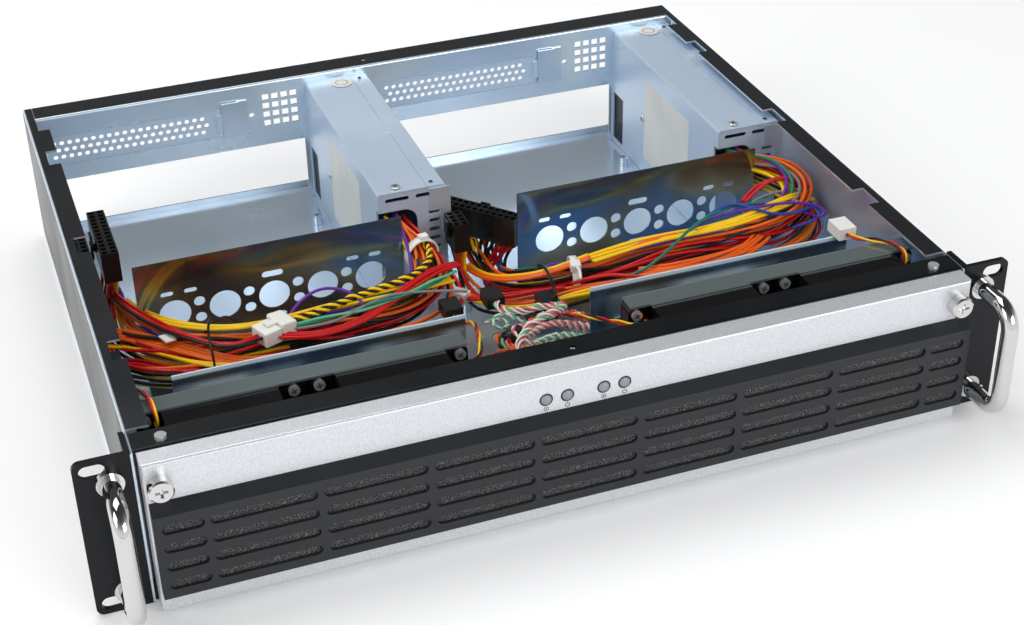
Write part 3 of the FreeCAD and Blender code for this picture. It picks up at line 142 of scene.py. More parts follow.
def calculate(tree, operation, first, second, clamp=False):
    """The result of a maths node; each value may be a number or a socket."""
    made = node(tree, "ShaderNodeMath", operation=operation, use_clamp=clamp)
    feed(tree, made.inputs[0], first)
    feed(tree, made.inputs[1], second)
    return made.outputs["Value"]


def either(tree, first, second):
    return calculate(tree, "MAXIMUM", first, second)


def mixed(tree, first, second, factor=1.0, blend="MULTIPLY"):
    """One colour blended over another; each value may be a plain one or a socket."""
    made = node(tree, "ShaderNodeMix", data_type="RGBA", blend_type=blend)
    for place, value in ((6, first), (7, second), (0, factor)):
        feed(tree, made.inputs[place], value)
    return made.outputs[2]


# ---------------------------------------------------------------- materials

def zinc(name="zinc", tint=(0.72, 0.83, 0.95), rough=(0.14, 0.28), metallic=0.70):
    """Bright zinc plate: clear reflections, softened unevenly, with rolling lines."""
    material, tree, shader = new_material(name, tint, metallic, 0.24)
    cloud = noise(tree, 14, 4)
    vary_roughness(tree, shader, cloud, *rough)
    dark = tuple(channel * 0.86 for channel in tint)
    tree.links.new(ramp(tree, noise(tree, 5, 5), [(0.3, dark), (0.7, tint)]),
                   shader.inputs["Base Color"])
    rolling_lines(tree, shader, 0.06)
    return material


def tray_plate():
    """Bright passivated plate: a mirror with gold, brown and blue mottling, partly its own tint and
    partly painted reflection, with painted shade that darkens it toward its top. Its front flange has
    painted reflection in pale patches below a dark band near its top, and a painted highlight above."""
    material, tree, shader = new_material("tray_plate", grey(0.6), 0.78, 0.14)
    # The mottling is partly the plate's own passivation tint and partly painted reflection.
    tint_and_reflection_clouds = ramp(tree, noise(tree, 7.5, 2.5, (1, 1, 1.5)), [
        (0.34, (0.20, 0.14, 0.12)), (0.40, (0.46, 0.31, 0.16)), (0.44, (0.60, 0.56, 0.36)),
        (0.475, (0.34, 0.47, 0.60)), (0.56, (0.24, 0.47, 0.80)), (0.70, (0.62, 0.76, 0.98))])
    # Painted shade: the whole plate darkens toward its top.
    height = ramp(tree, axes(tree, (1, 1, 11))["Z"], [
        (0.0, grey(1.0)), (0.42, (0.90, 0.95, 1.0)), (0.62, (0.70, 0.74, 0.80)),
        (0.80, (0.46, 0.46, 0.50)), (0.92, (0.34, 0.33, 0.34))])
    flange_depth, band_height, band_top = 0.004, 0.016, 0.84
    low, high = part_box("drive_tray_left")
    place = axes(tree)
    front = calculate(tree, "LESS_THAN", place["Y"], low.y + flange_depth)
    level = node(tree, "ShaderNodeMapRange")
    tree.links.new(place["Z"], level.inputs["Value"])
    level.inputs["From Min"].default_value = high.z - band_height
    level.inputs["From Max"].default_value = high.z
    level = level.outputs["Result"]
    # Painted reflection on the front flange: pale patches low down, a dark band near its top without them,
    # and a painted highlight along its rolled top.
    painted_reflection_fade = ramp(tree, level, [
        (0.0, grey(1.0)), (0.50, grey(1.0)), (0.70, grey(0.06)), (band_top, grey(0.08)),
        (0.90, grey(1.0))])
    painted_reflection_spots = ramp(tree, noise(tree, 15, 2, (1, 0, 0)), [(0.44, grey(0.12)), (0.60, grey(1.0))])
    painted_highlight_rim = calculate(tree, "GREATER_THAN", level, band_top)
    painted_reflection_bloom = mixed(tree, painted_reflection_fade, mixed(tree, painted_reflection_spots, grey(1.0), painted_highlight_rim, "MIX"))
    painted_reflection_amount = calculate(tree, "MULTIPLY", painted_reflection_bloom, front)
    plate = mixed(tree, tint_and_reflection_clouds, height)
    tree.links.new(mixed(tree, plate, (0.74, 0.90, 1.0), painted_reflection_amount, "MIX"), shader.inputs["Base Color"])
    tree.links.new(ramp(tree, painted_reflection_amount, [(0.0, grey(0.80)), (1.0, grey(0.25))]), shader.inputs["Metallic"])
    vary_roughness(tree, shader, noise(tree, 20, 4), 0.09, 0.18)
    rolling_lines(tree, shader, 0.04)
    return material


def coated(name, color, metallic, rough, cloud, grain=None, specular=0.5):
    """A plain coat: its roughness varies between two values in clouds of a scale and detail, and
    grain is the scale, strength and depth of fine bumps."""
    material, tree, shader = new_material(name, color, metallic, sum(rough) / 2,
                                          Specular_IOR_Level=specular)
    vary_roughness(tree, shader, noise(tree, *cloud), *rough)
    if grain:
        scale, strength, depth = grain
        bump(tree, shader, noise(tree, scale, 2), strength, depth)
    return material


def painted_outside(name, masks):
    """Zinc sheet painted black only beyond the planes in masks, each (axis, limit, sign)."""
    material, tree, shader = new_material(name, (0.70, 0.76, 0.82), 1.0, 0.24)
    place = axes(tree)
    painted = None
    for axis, limit, sign in masks:
        mask = calculate(tree, "GREATER_THAN" if sign > 0 else "LESS_THAN", place[axis], limit)
        painted = mask if painted is None else either(tree, painted, mask)
    plate = ramp(tree, noise(tree, 5, 5), [(0.3, (0.66, 0.77, 0.88)), (0.7, (0.76, 0.87, 0.97))])
    tree.links.new(mixed(tree, plate, (0.007, 0.008, 0.010), painted, "MIX"), shader.inputs["Base Color"])
    tree.links.new(calculate(tree, "SUBTRACT", 0.66, painted, clamp=True), shader.inputs["Metallic"])
    cloud = noise(tree, 14, 4)
    bare_rough = ramp(tree, cloud, [(0.3, grey(0.16)), (0.7, grey(0.30))])
    paint_rough = ramp(tree, cloud, [(0.3, grey(0.26)), (0.7, grey(0.38))])
    tree.links.new(mixed(tree, bare_rough, paint_rough, painted, "MIX"), shader.inputs["Roughness"])
    bump(tree, shader, noise(tree, 1100, 2), 0.10, 0.0003)
    return material


def silver():
    """Silver anodised aluminium with a fine sparkling grain."""
    material, tree, shader = new_material("silver", (0.62, 0.63, 0.66), 0.55, 0.36)
    grain = noise(tree, 2600, 1)
    tree.links.new(ramp(tree, grain, [(0.35, (0.62, 0.63, 0.66)), (0.65, (0.88, 0.90, 0.94))]),
                   shader.inputs["Base Color"])
    bump(tree, shader, grain, 0.12, 0.0002)
    return material


def foam():
    """Open-cell filter foam: pale struts, with the pores between them darkened as painted shade."""
    material, tree, shader = new_material("foam", grey(0.1), 0.0, 0.85)
    cells = node(tree, "ShaderNodeTexVoronoi", Scale=900.0, feature="DISTANCE_TO_EDGE")
    tree.links.new(object_coordinates(tree), cells.inputs["Vector"])
    # Painted shade: the pores between the struts go nearly black.
    shade = ramp(tree, cells.outputs["Distance"],
                 [(0.03, grey(0.17)), (0.13, grey(0.03)), (0.35, grey(0.002))])
    tree.links.new(shade, shader.inputs["Base Color"])
    bump(tree, shader, cells.outputs["Distance"], 1.0, -0.0008)
    return material


def plastic(name, color, roughness=0.4, grain=0.08):
    """Moulded plastic with a little surface grain."""
    return coated(name, color, 0.0, (roughness * 0.8, roughness * 1.2), (80, 3),
                  (1500, grain, 0.0002), 0.38)


def plug_plastic():
    """White nylon for the plug at the right side and black for the ones in the middle."""
    material, tree, shader = new_material("plug_plastic", grey(0.5), 0.0, 0.34)
    beyond = calculate(tree, "GREATER_THAN", axes(tree)["X"], 0.1)
    tree.links.new(mixed(tree, grey(0.010), (0.80, 0.79, 0.74), beyond, "MIX"), shader.inputs["Base Color"])
    bump(tree, shader, noise(tree, 1500, 2), 0.08, 0.0002)
    return material


def paper():
    material, tree, shader = new_material("blank_label", (0.66, 0.63, 0.55), 0.0, 0.45)
    tree.links.new(ramp(tree, noise(tree, 30, 4), [(0.3, (0.66, 0.66, 0.62)), (0.7, (0.76, 0.76, 0.72))]),
                   shader.inputs["Base Color"])
    return material


# The paint ends this far inside the outer faces of the shell.
SKIN = 0.00008
shell_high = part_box("chassis_tray")[1]
SHELL_X = shell_high.x - SKIN
TOP_Z = shell_high.z - SKIN
REAR_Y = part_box("slot_cover_left")[1].y - SKIN
BARE = zinc()
TRAY = tray_plate()
BRACKET = zinc("bracket_plate", (0.30, 0.36, 0.37), (0.14, 0.22), 0.70)
SUPPLY = zinc("supply_plate", (0.62, 0.75, 0.90), (0.28, 0.42), 0.35)
PLATED = zinc("gusset_plate", (0.64, 0.70, 0.76), (0.30, 0.44), 0.5)
BLACK = coated("black_paint", (0.005, 0.006, 0.008), 0.0, (0.26, 0.38), (30, 4),
               (1100, 0.14, 0.0003), 0.25)
SHELL = painted_outside("shell", [
    ("X", SHELL_X, 1), ("X", -SHELL_X, -1), ("Z", TOP_Z, 1), ("Z", SKIN, -1)])
REAR = painted_outside("rear_plate", [("Z", TOP_Z, 1), ("Y", REAR_Y, 1)])
SILVER = silver()
DARK = coated("dark_metal", (0.026, 0.029, 0.033), 0.2, (0.34, 0.48), (40, 4),
              (1400, 0.14, 0.0002), 0.35)
FOAM = foam()
CHROME = coated("chrome", (0.66, 0.65, 0.64), 1.0, (0.03, 0.10), (50, 3))
BLACK_PLASTIC = plastic("black_plastic", grey(0.007), 0.30)
FAN_PLASTIC = plastic("fan_plastic", grey(0.006), 0.16, 0.03)
WHITE_PLASTIC = plastic("white_plastic", (0.80, 0.79, 0.74), 0.35)
LIGHT = plastic("light_dome", (0.30, 0.33, 0.37), 0.08, 0.02)
BOARD = plastic("board", (0.03, 0.14, 0.06), 0.4)
PAPER = paper()
# Dark print for marks and rims, also laid on screw recesses and supply holes as painted shade.
PRINT_AND_SHADE = plastic("print_and_painted_shade", grey(0.03), 0.6)
SCREW = zinc("screw_plate", (0.80, 0.81, 0.80), (0.14, 0.24), 0.65)
BLACK_TIE = plastic("twist_tie", grey(0.008), 0.22, 0.02)
WIRES = {
    "yellow": (0.93, 0.58, 0.002), "orange": (0.84, 0.13, 0.006), "red": (0.56, 0.003, 0.006),
    "black": grey(0.010), "blue": (0.015, 0.055, 0.36), "green": (0.008, 0.21, 0.13),
    "violet": (0.12, 0.02, 0.34), "grey": grey(0.20), "white": (0.75, 0.72, 0.66),
    "pink": (0.72, 0.13, 0.15), "mint": (0.12, 0.46, 0.24),
}
for name, color in WIRES.items():
    WIRES[name] = plastic(name + "_wire", color, 0.30 if name == "black" else 0.32, 0.03)

FINISH = {
    "chassis_tray": SHELL, "rear_wall": REAR, "front_panel": BLACK, "bezel": SILVER,
    "grille": DARK, "filter_foam": FOAM, "handle_ferrules": CHROME, "status_lights": LIGHT,
    "light_board": BOARD, "slot_clamps": BARE, "board_standoffs": BARE, "supply_gussets": PLATED,
    "panel_screws": SCREW, "fan_screws": SCREW, "ear_screws": SCREW,
    "small_plugs": plug_plastic(),
}
PAIRS = {
    "rack_ear": BLACK, "handle": CHROME, "thumbscrew": CHROME, "fan_bracket": BRACKET,
    "drive_tray": TRAY, "slot_cover": SUPPLY, "supply_case": SUPPLY, "supply_cover": SUPPLY,
    "supply_inlet": BLACK_PLASTIC, "supply_fan_frame": BLACK_PLASTIC,
    "supply_fan_rotor": BLACK_PLASTIC, "main_plug": BLACK_PLASTIC, "spare_plug": BLACK_PLASTIC,
}
for name, material in PAIRS.items():
    FINISH[name + "_left"] = FINISH[name + "_right"] = material
for place in range(1, 5):
    FINISH["fan_frame_%d" % place] = FINISH["fan_rotor_%d" % place] = FAN_PLASTIC
for name, material in FINISH.items():
    for material_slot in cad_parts[name].material_slots:
        material_slot.link = "OBJECT"
        material_slot.material = material


# ---------------------------------------------------------------- mesh helpers

def mesh_object(name, vertices, faces, materials, indices=None, smooth=True):
    mesh = bpy.data.meshes.new(name)
    mesh.from_pydata(vertices, [], faces)
    for material in materials:
        mesh.materials.append(material)
    if indices is not None:
        mesh.polygons.foreach_set("material_index", indices)
    mesh.polygons.foreach_set("use_smooth", [smooth] * len(faces))
    mesh.update()
    made = bpy.data.objects.new(name, mesh)
    bpy.context.scene.collection.objects.link(made)
    return made


def case_piece(*parts, **settings):
    """A mesh object on the case's body."""
    made = mesh_object(*parts, **settings)
    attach(made, "case")
    return made


def soften(made, width):
    """Round the edges of a piece."""
    rounding = made.modifiers.new("edges", "BEVEL")
    rounding.width = width * MM
    rounding.segments = 2


def smooth_line(points):
    """The points of the smooth NURBS line that a list of route points controls."""
    curve = bpy.data.curves.new("route", "CURVE")
    curve.dimensions = "3D"
    spline = curve.splines.new("NURBS")
    spline.points.add(len(points) - 1)
    for target, point in zip(spline.points, points):
        target.co = (*point, 1)
    spline.order_u = 3
    spline.use_endpoint_u = True
    spline.resolution_u = 10
    holder = bpy.data.objects.new("route", curve)
    mesh = bpy.data.meshes.new_from_object(holder)
    line = np.array([vertex.co[:] for vertex in mesh.vertices])
    bpy.data.objects.remove(holder)
    bpy.data.meshes.remove(mesh)
    bpy.data.curves.remove(curve)
    return line


def step_lengths(line):
    return np.linalg.norm(np.diff(line, axis=0), axis=1)


def even(line, step):
    """The same line with points evenly step apart."""
    run = np.concatenate([[0], np.cumsum(step_lengths(line))])
    places = np.linspace(0, run[-1], max(3, int(run[-1] / step)))
    return np.stack([np.interp(places, run, line[:, axis]) for axis in range(3)], axis=1)


def route_line(points, step):
    """The smooth line along route points in millimetres, with points step apart."""
    return even(smooth_line([at(*point) for point in points]), step * MM)


def carried_frames(line):
    """Two directions across the line at each of its points, turning as little as they can."""
    along = np.gradient(line, axis=0)
    along /= np.linalg.norm(along, axis=1)[:, None]
    side = np.cross(along[0], [0, 0, 1] if abs(along[0][2]) < 0.9 else [1, 0, 0])
    sides = []
    for direction in along:
        side = side - direction * np.dot(side, direction)
        side = side / np.linalg.norm(side)
        sides.append(side)
    sides = np.array(sides)
    return sides, np.cross(along, sides)


def around(line, frames, angle, reach):
    """The line moved away by reach at an angle round it, both given point by point."""
    first, second = frames
    return (line + first * (np.cos(angle) * reach)[:, None]
            + second * (np.sin(angle) * reach)[:, None])


def tube_piece(name, lines, radius, colors, sides=8, materials=WIRES):
    """One piece of round strands, each with its own colour from materials."""
    vertices, faces, indices = [], [], []
    palette = sorted(set(colors))
    angles = np.linspace(0, 2 * math.pi, sides, endpoint=False)
    for line, color in zip(lines, colors):
        first, second = carried_frames(line)
        base = len(vertices)
        ring = (np.cos(angles)[None, :, None] * first[:, None, :]
                + np.sin(angles)[None, :, None] * second[:, None, :])
        vertices.extend((line[:, None, :] + radius * MM * ring).reshape(-1, 3).tolist())
        for i in range(len(line) - 1):
            low = base + i * sides
            for j in range(sides):
                after = (j + 1) % sides
                faces.append((low + j, low + after, low + sides + after, low + sides + j))
        faces.append(tuple(base + j for j in reversed(range(sides))))
        last = base + (len(line) - 1) * sides
        faces.append(tuple(last + j for j in range(sides)))
        indices += [palette.index(color)] * ((len(line) - 1) * sides + 2)
    return case_piece(name, vertices, faces, [materials[color] for color in palette], indices)


# ---------------------------------------------------------------- wiring

# Sizes in millimetres. A plug's cells stand in two rows.
WIRE_RADIUS = 1.02
THIN_WIRE_RADIUS = 0.6
CELL_PITCH = 4.2
CELL_ROWS = 4.8
# The turn in radians from one wire to the next that fills a round bundle evenly.
GOLDEN_ANGLE = 2.39996


def strands(line, colors, spread, seed):
    """Lines of wires lying loosely along a line, wires of one colour side by side; spread gives
    the bundle's half width."""
    chance = random.Random(seed)
    frames = carried_frames(line)
    share = np.linspace(0, 1, len(line))
    count = len(colors)
    turns = sorted((k * GOLDEN_ANGLE % (2 * math.pi), k) for k in range(count))
    made = []
    for turn, k in turns:
        radius = math.sqrt((k + 0.5) / count)
        wave = chance.uniform(0.8, 2.2)
        phase = chance.uniform(0, 6.28)
        angle = turn + chance.uniform(-0.2, 0.2) + 0.7 * np.sin(2 * math.pi * wave * share + phase)
        angle = angle + 1.4 * share
        reach = radius * (1 + 0.20 * np.sin(2 * math.pi * (wave + 0.7) * share + phase * 2))
        reach = np.clip(reach, 0, 1.06) * spread(share)
        made.append(around(line, frames, angle, reach))
    return made


def twisted(line, count, turns, reach, seed, jitter=0.3, mean=0.85, waves=1.7):
    """Lines of wires twisted round each other; jitter, mean and waves say how unevenly."""
    chance = random.Random(seed)
    frames = carried_frames(line)
    share = np.linspace(0, 1, len(line))
    made = []
    for k in range(count):
        angle = 2 * math.pi * (k / count + turns * share) + chance.uniform(-jitter, jitter)
        away = reach * (mean + 0.25 * np.sin(2 * math.pi * (waves * share + chance.random())))
        made.append(around(line, frames, angle, away))
    return made


def bundle_spread(tight, loose, ties):
    """Half width along a bundle: tight at its ends and ties, loose between. The shares of the
    length over which it opens again are end_share and tie_share."""
    end_share, tie_share, least = 0.14, 0.10, 0.25

    def width(share):
        level = np.clip(np.minimum(share, 1 - share) / end_share, 0, 1)
        for place in ties:
            level = np.minimum(level, np.clip(np.abs(share - place) / tie_share, least, 1))
        level = level * level * (3 - 2 * level)
        return (tight + (loose - tight) * level) * MM
    return width


def fan_out(lines, centre, turn, columns, from_share):
    """Spread the ends of the strands over a plug's two rows of cells."""
    along = np.array([math.cos(math.radians(turn)), math.sin(math.radians(turn)), 0])
    across = np.array([-along[1], along[0], 0])
    made = []
    for k, line in enumerate(lines):
        column = k % columns
        row = (k // columns) % 2
        cell = (np.array(centre) + along * (column - (columns - 1) / 2) * CELL_PITCH * MM
                + across * (row - 0.5) * CELL_ROWS * MM)
        share = np.linspace(0, 1, len(line))
        pull = np.clip((share - from_share) / (1 - from_share), 0, 1) ** 2
        made.append(line + (cell - line[-1])[None, :] * pull[:, None])
    return made


def supply_lead(name, route, kind, plug_turn, seed, ties):
    """A supply's bundle of wires, ending in the cells of its plug. The ends that spread beyond
    the bundle's width are a piece of their own."""
    colors, width, columns = kind
    opening_share, cut_share = 0.86, 0.87
    line = route_line(route, 3)
    spread = bundle_spread(width * 0.34, width * 0.60, ties)
    lines = strands(line, colors, spread, seed)
    opened = fan_out(lines, line[-1], plug_turn, columns, opening_share)
    cut = int(len(line) * cut_share)
    core, tails, tail_colors = [], [], []
    for wire, color in zip(opened, colors):
        stays = np.linalg.norm(wire[-1] - line[-1]) < 0.6 * width * MM
        core.append(wire if stays else wire[:cut + 1])
        if not stays:
            tails.append(wire[cut:])
            tail_colors.append(color)
    body = tube_piece(name + "_wires", core, WIRE_RADIUS, colors)
    if tails:
        tube_piece(name + "_wire_ends", tails, WIRE_RADIUS, tail_colors)
    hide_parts(name)


def thin_lead(name, route, kind, turns, seed, extras=()):
    """A few thin wires twisted loosely round each other, ending in a small plug."""
    colors, width = kind
    line = route_line(route, 1.2)
    wall = 0.55
    half = (width / 2 - wall) * MM
    lines = twisted(line, len(colors), turns, half, seed, 0.4, 0.8, 2)
    body = tube_piece(name + "_wires", lines, THIN_WIRE_RADIUS, colors, 6)
    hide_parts(name)


def loose_wires(name, points, colors, radius, width=0.0, turns=0.0, seed=1):
    """A few wires twisted round each other, or one alone, along a smooth line."""
    line = route_line(points, 2)
    return tube_piece(name, twisted(line, len(colors), turns, width * MM, seed), radius, colors)


def flat_wires(name, points, colors, pitch, radius, seed):
    """Wires that run side by side in a loose flat row along a smooth line."""
    line = route_line(points, 2)
    level = np.cross(np.gradient(line, axis=0), [0, 0, 1])
    level /= np.linalg.norm(level, axis=1)[:, None]
    share = np.linspace(0, 1, len(line))
    chance = random.Random(seed)
    lines = []
    for k in range(len(colors)):
        phase = chance.uniform(0, 6.28)
        offset = ((k - (len(colors) - 1) / 2) * pitch
                  + 0.7 * np.sin(2 * math.pi * 1.3 * share + phase)) * MM
        lift = (chance.uniform(-0.6, 0.6) + 0.5 * np.sin(2 * math.pi * 0.9 * share + phase)) * MM
        lines.append(line + level * offset[:, None] + np.outer(lift, [0, 0, 1]))
    return tube_piece(name, lines, radius, colors)


def tie(name, points, radius, material):
    """A thin tie bent through the points."""
    return tube_piece(name, [route_line(points, 1)], radius, ["tie"], 6, {"tie": material})


def strap(name, centre, turn, across, up, width, thick, material):
    """A flat band round a bundle that runs at turn degrees; across and up are its half sizes."""
    along = np.array([math.cos(math.radians(turn)), math.sin(math.radians(turn)), 0])
    level = np.array([-along[1], along[0], 0])
    middle = np.array(at(*centre))
    vertices, faces = [], []
    steps = 32
    for i in range(steps):
        angle = 2 * math.pi * i / steps
        for grow in (0, thick):
            ring = (level * math.cos(angle) * (across + grow)
                    + np.array([0, 0, math.sin(angle) * (up + grow)]))
            for shift in (-width / 2, width / 2):
                vertices.append((middle + (ring + along * shift) * MM).tolist())
    for i in range(steps):
        a, b = 4 * i, 4 * ((i + 1) % steps)
        for first, second in ((0, 1), (1, 3), (3, 2), (2, 0)):
            faces.append((a + first, b + first, b + second, a + second))
    return case_piece(name, vertices, faces, [material])


def turned_box(name, centre, half, turn, material, tilt, bevel):
    """A block with softened edges about a centre, turned about the vertical and tilted."""
    rotation = Matrix.Rotation(math.radians(turn), 3, "Z") @ Matrix.Rotation(math.radians(tilt), 3, "Y")
    corners = [at(*centre) + rotation @ Vector((x * half[0], y * half[1], z * half[2])) * MM
               for x in (-1, 1) for y in (-1, 1) for z in (-1, 1)]
    faces = [(0, 1, 3, 2), (4, 6, 7, 5), (0, 4, 5, 1), (2, 3, 7, 6), (0, 2, 6, 4), (1, 5, 7, 3)]
    made = case_piece(name, [tuple(corner) for corner in corners], faces, [material], smooth=False)
    soften(made, bevel)
    return made


MAIN_COLORS = (["yellow"] * 6 + ["black"] * 3 + ["red"] * 4 + ["black"] * 2 + ["orange"] * 4
               + ["violet", "grey", "green", "blue"] + ["black"])
SPARE_COLORS = ["yellow", "yellow", "black", "black", "red", "orange", "orange", "black"]
# Each kind of lead: its wires, its width in millimetres and the cells in a row of its plug.
MAIN_LEAD = (MAIN_COLORS, 16, 12)
SPARE_LEAD = (SPARE_COLORS, 10, 4)
FAN_LEAD = (["yellow", "black", "red"], 3)
PANEL_LEAD = (["pink", "white", "mint", "white", "pink", "white"], 5)

LEFT_EXTRAS = [
    loose_wires("left_violet_loop", [
        (-113, 131, 55), (-109, 135, 58), (-101, 139.5, 62), (-91, 142.5, 64), (-82, 139, 64),
        (-75, 134, 62), (-71, 128, 58), (-72, 122, 54)], ["violet"], 0.85),
    loose_wires("left_twisted_lead", [
        (-22, 176, 61), (-22, 160, 62), (-29.4, 147, 62), (-41.6, 138, 62), (-54.6, 135, 62),
        (-69, 133, 61), (-80, 130.5, 61), (-91, 127.5, 60), (-101, 125.5, 59.5), (-111, 124.5, 59)],
        ["yellow", "black"] * 2, 0.85, 1.5, 9, 3),
    loose_wires("left_green_wires", [
        (-15, 144, 57), (-20, 137, 59), (-31, 132, 60), (-48, 125, 60), (-63, 123.5, 59.5),
        (-78, 121, 59), (-92, 121, 58.5), (-103, 121.5, 58), (-112, 121, 58)],
        ["green", "mint"], 0.8, 1.0, 1.5, 4),
    loose_wires("left_grey_wire", [
        (-14, 124, 55), (-26, 124.5, 58), (-41, 125.5, 60), (-56, 128, 60.5), (-72, 123, 60),
        (-86, 117, 58.5), (-99, 116, 58), (-111, 118.5, 57.5)], ["grey"], 0.8),
    flat_wires("left_red_wires", [
        (-10.8, 149, 58), (-20, 145, 61), (-32, 139, 61), (-45, 131, 59.5), (-58, 124, 57),
        (-74, 116, 55), (-92, 112, 55), (-108, 112, 56), (-120, 116, 57)],
        ["red"] * 3, 2.0, 0.95, 5),
    flat_wires("left_yellow_wires", [
        (-18, 140, 55), (-30, 135, 57.5), (-48, 132.5, 58), (-70, 132, 58), (-94, 131, 57.5),
        (-116, 130, 57), (-138, 131, 57), (-158, 141, 56), (-173, 157, 54), (-184, 176, 51),
        (-190, 192, 50)], ["yellow"] * 3, 2.1, 0.98, 6),
    flat_wires("left_dark_red_pair", [
        (-194, 198, 52), (-190, 178, 55), (-183, 158, 58), (-172, 137, 60), (-158, 119, 60),
        (-147, 110.5, 60), (-137, 112, 59.5), (-128, 117, 58)], ["red", "red", "black"], 2.0, 0.95, 7),
    turned_box("left_connector_front", (-126, 119.5, 57.5), (5.2, 6.6, 4.2), 22, WHITE_PLASTIC, 0, 0.7),
    turned_box("left_connector_rear", (-117, 124, 58), (4.6, 7.4, 4.8), 22, WHITE_PLASTIC, 6, 0.9),
    turned_box("left_connector_latch", (-121.5, 121.8, 62.3), (5.6, 2.2, 0.7), 22, WHITE_PLASTIC, 4, 0.3),
    tie("left_twist_tie", [
        (-150.5, 143, 60), (-153, 148, 50), (-156, 149, 40), (-159, 141, 33), (-160, 124, 32),
        (-160, 106, 33), (-160, 97, 40), (-158.5, 97, 50), (-157.5, 103, 57), (-157, 112, 62),
        (-156, 122, 63.5), (-154, 131, 63.5), (-151, 140, 61)], 0.75, BLACK_TIE),
    tie("left_twist_tie_tail", [
        (-154, 131, 63.5), (-149, 129, 66), (-144, 131, 66), (-141, 127, 64), (-136, 128, 63)],
        0.7, BLACK_TIE),
    turned_box("left_tie_flag", (-175.5, 134.5, 57.5), (3.2, 3.8, 0.5), 20, WHITE_PLASTIC, 8, 0.2),
    strap("left_white_tie", (-25, 170.5, 55.5), 100, 9.0, 9.0, 5.0, 0.9, WHITE_PLASTIC),
    turned_box("left_white_tie_head", (-23.5, 171, 65.6), (2.6, 2.2, 1.8), 10, WHITE_PLASTIC, 0, 0.4),
]
LEFT_SPARE_EXTRAS = [
    flat_wires("left_orange_wires", [
        (-208, 182, 40), (-205, 172, 45), (-197, 161, 49), (-185, 145, 52), (-171, 128, 54),
        (-158, 115, 54.5), (-146, 107, 53), (-130, 104, 51), (-112, 103, 50.5)],
        ["orange"] * 4, 2.1, 0.98, 8),
    flat_wires("left_low_yellow_wires", [
        (-208, 168, 40), (-203, 160, 43), (-193, 149, 47), (-180, 132, 50), (-169, 118, 52),
        (-158, 108, 53), (-144, 101, 52), (-128, 98, 50)], ["yellow", "yellow"], 2.2, 0.98, 9),
    flat_wires("left_low_red_wires", [
        (-208, 152, 38), (-203, 146, 42), (-192, 136, 46), (-180, 122, 48), (-168, 109, 50),
        (-155, 100, 50), (-140, 95, 48)], ["red", "black", "red"], 2.2, 0.95, 10),
]

RIGHT_EXTRAS = [
    loose_wires("right_green_wire", [
        (176, 146, 58), (168, 144.6, 61), (154, 141.7, 64), (139, 136.5, 65), (123, 128, 65),
        (108, 118, 63), (93, 109, 60), (80, 104.5, 57), (71, 107, 54)], ["green"], 0.85),
    loose_wires("right_violet_loop", [
        (112, 126, 58), (122, 131, 61), (134, 134, 64), (147, 132, 66), (165, 130.5, 67),
        (183, 127.8, 67.5), (195, 121.6, 67), (200, 115, 65), (196, 112.5, 63), (193, 119, 61),
        (192, 131, 58)], ["violet"], 0.85),
    loose_wires("right_blue_loop", [
        (122, 128, 58), (132, 135.6, 63), (146, 140, 66), (154.6, 137.5, 67.5), (161.5, 129, 67),
        (170, 121.5, 65), (184, 118.5, 65.5), (195, 121.5, 66), (199, 118, 63), (193, 114.5, 60),
        (180, 117, 57)], ["blue"], 0.85),
    loose_wires("right_grey_wire", [
        (160, 141, 56), (168, 148, 60), (182, 148, 63.5), (196, 144.5, 65), (203.5, 139, 65),
        (203, 135.5, 63), (192, 138, 59)], ["grey"], 0.85),
    flat_wires("right_red_sleeve", [
        (165, 150, 60), (174, 154.5, 64), (184, 155, 68), (194, 152.5, 69), (201, 148.5, 67),
        (204, 141, 62)], ["red", "red"], 1.9, 1.1, 11),
    flat_wires("right_yellow_wires", [
        (203, 140, 60), (198, 138, 63), (181, 133, 65), (155, 126, 64), (131, 127, 61),
        (109, 132, 58), (87, 134, 56), (62, 132, 54)],
        ["yellow"] * 4, 2.1, 1.0, 12),
    flat_wires("right_orange_wires", [
        (160, 116, 56), (151, 107.5, 58), (138, 101, 59), (123, 97.5, 59), (107, 97.5, 58.5),
        (93, 101, 57), (80, 107.5, 55)], ["orange"] * 6, 2.1, 0.98, 13),
    flat_wires("right_red_end", [
        (84, 92.5, 57), (79.5, 94, 58), (71.5, 101, 58), (65, 109, 57), (56, 114, 54), (44, 117, 50)],
        ["red"], 2.0, 1.1, 14),
    strap("right_zip_tie", (53, 136, 42.5), -12, 10.4, 10.8, 4.0, 1.1, WHITE_PLASTIC),
    turned_box("right_zip_head", (51.5, 129.5, 53.4), (2.9, 3.2, 2.3), -12, WHITE_PLASTIC, 0, 0.5),
    tie("right_zip_tail", [(51.5, 127, 54), (50.5, 121, 56), (49, 116.5, 56.5), (48, 113, 55)], 1.0,
        WHITE_PLASTIC),
    turned_box("right_red_connector", (-12.5, 141, 42), (3.4, 5.0, 3.2), 40, WHITE_PLASTIC, 0, 0.6),
    flat_wires("right_red_pair", [
        (-11, 138.5, 42), (-8, 134, 43.5), (0, 128, 46), (11, 122.5, 48), (24, 119.5, 49),
        (40, 117.5, 50)], ["red", "red"], 2.0, 0.95, 15),
    flat_wires("right_brown_wires", [
        (62, 134, 54), (49, 134.5, 52), (36, 138.5, 48), (24, 146, 43), (13, 156, 38.5),
        (7, 170, 35), (6, 184, 33.5)], ["orange", "orange", "yellow"], 2.1, 1.0, 16),
]
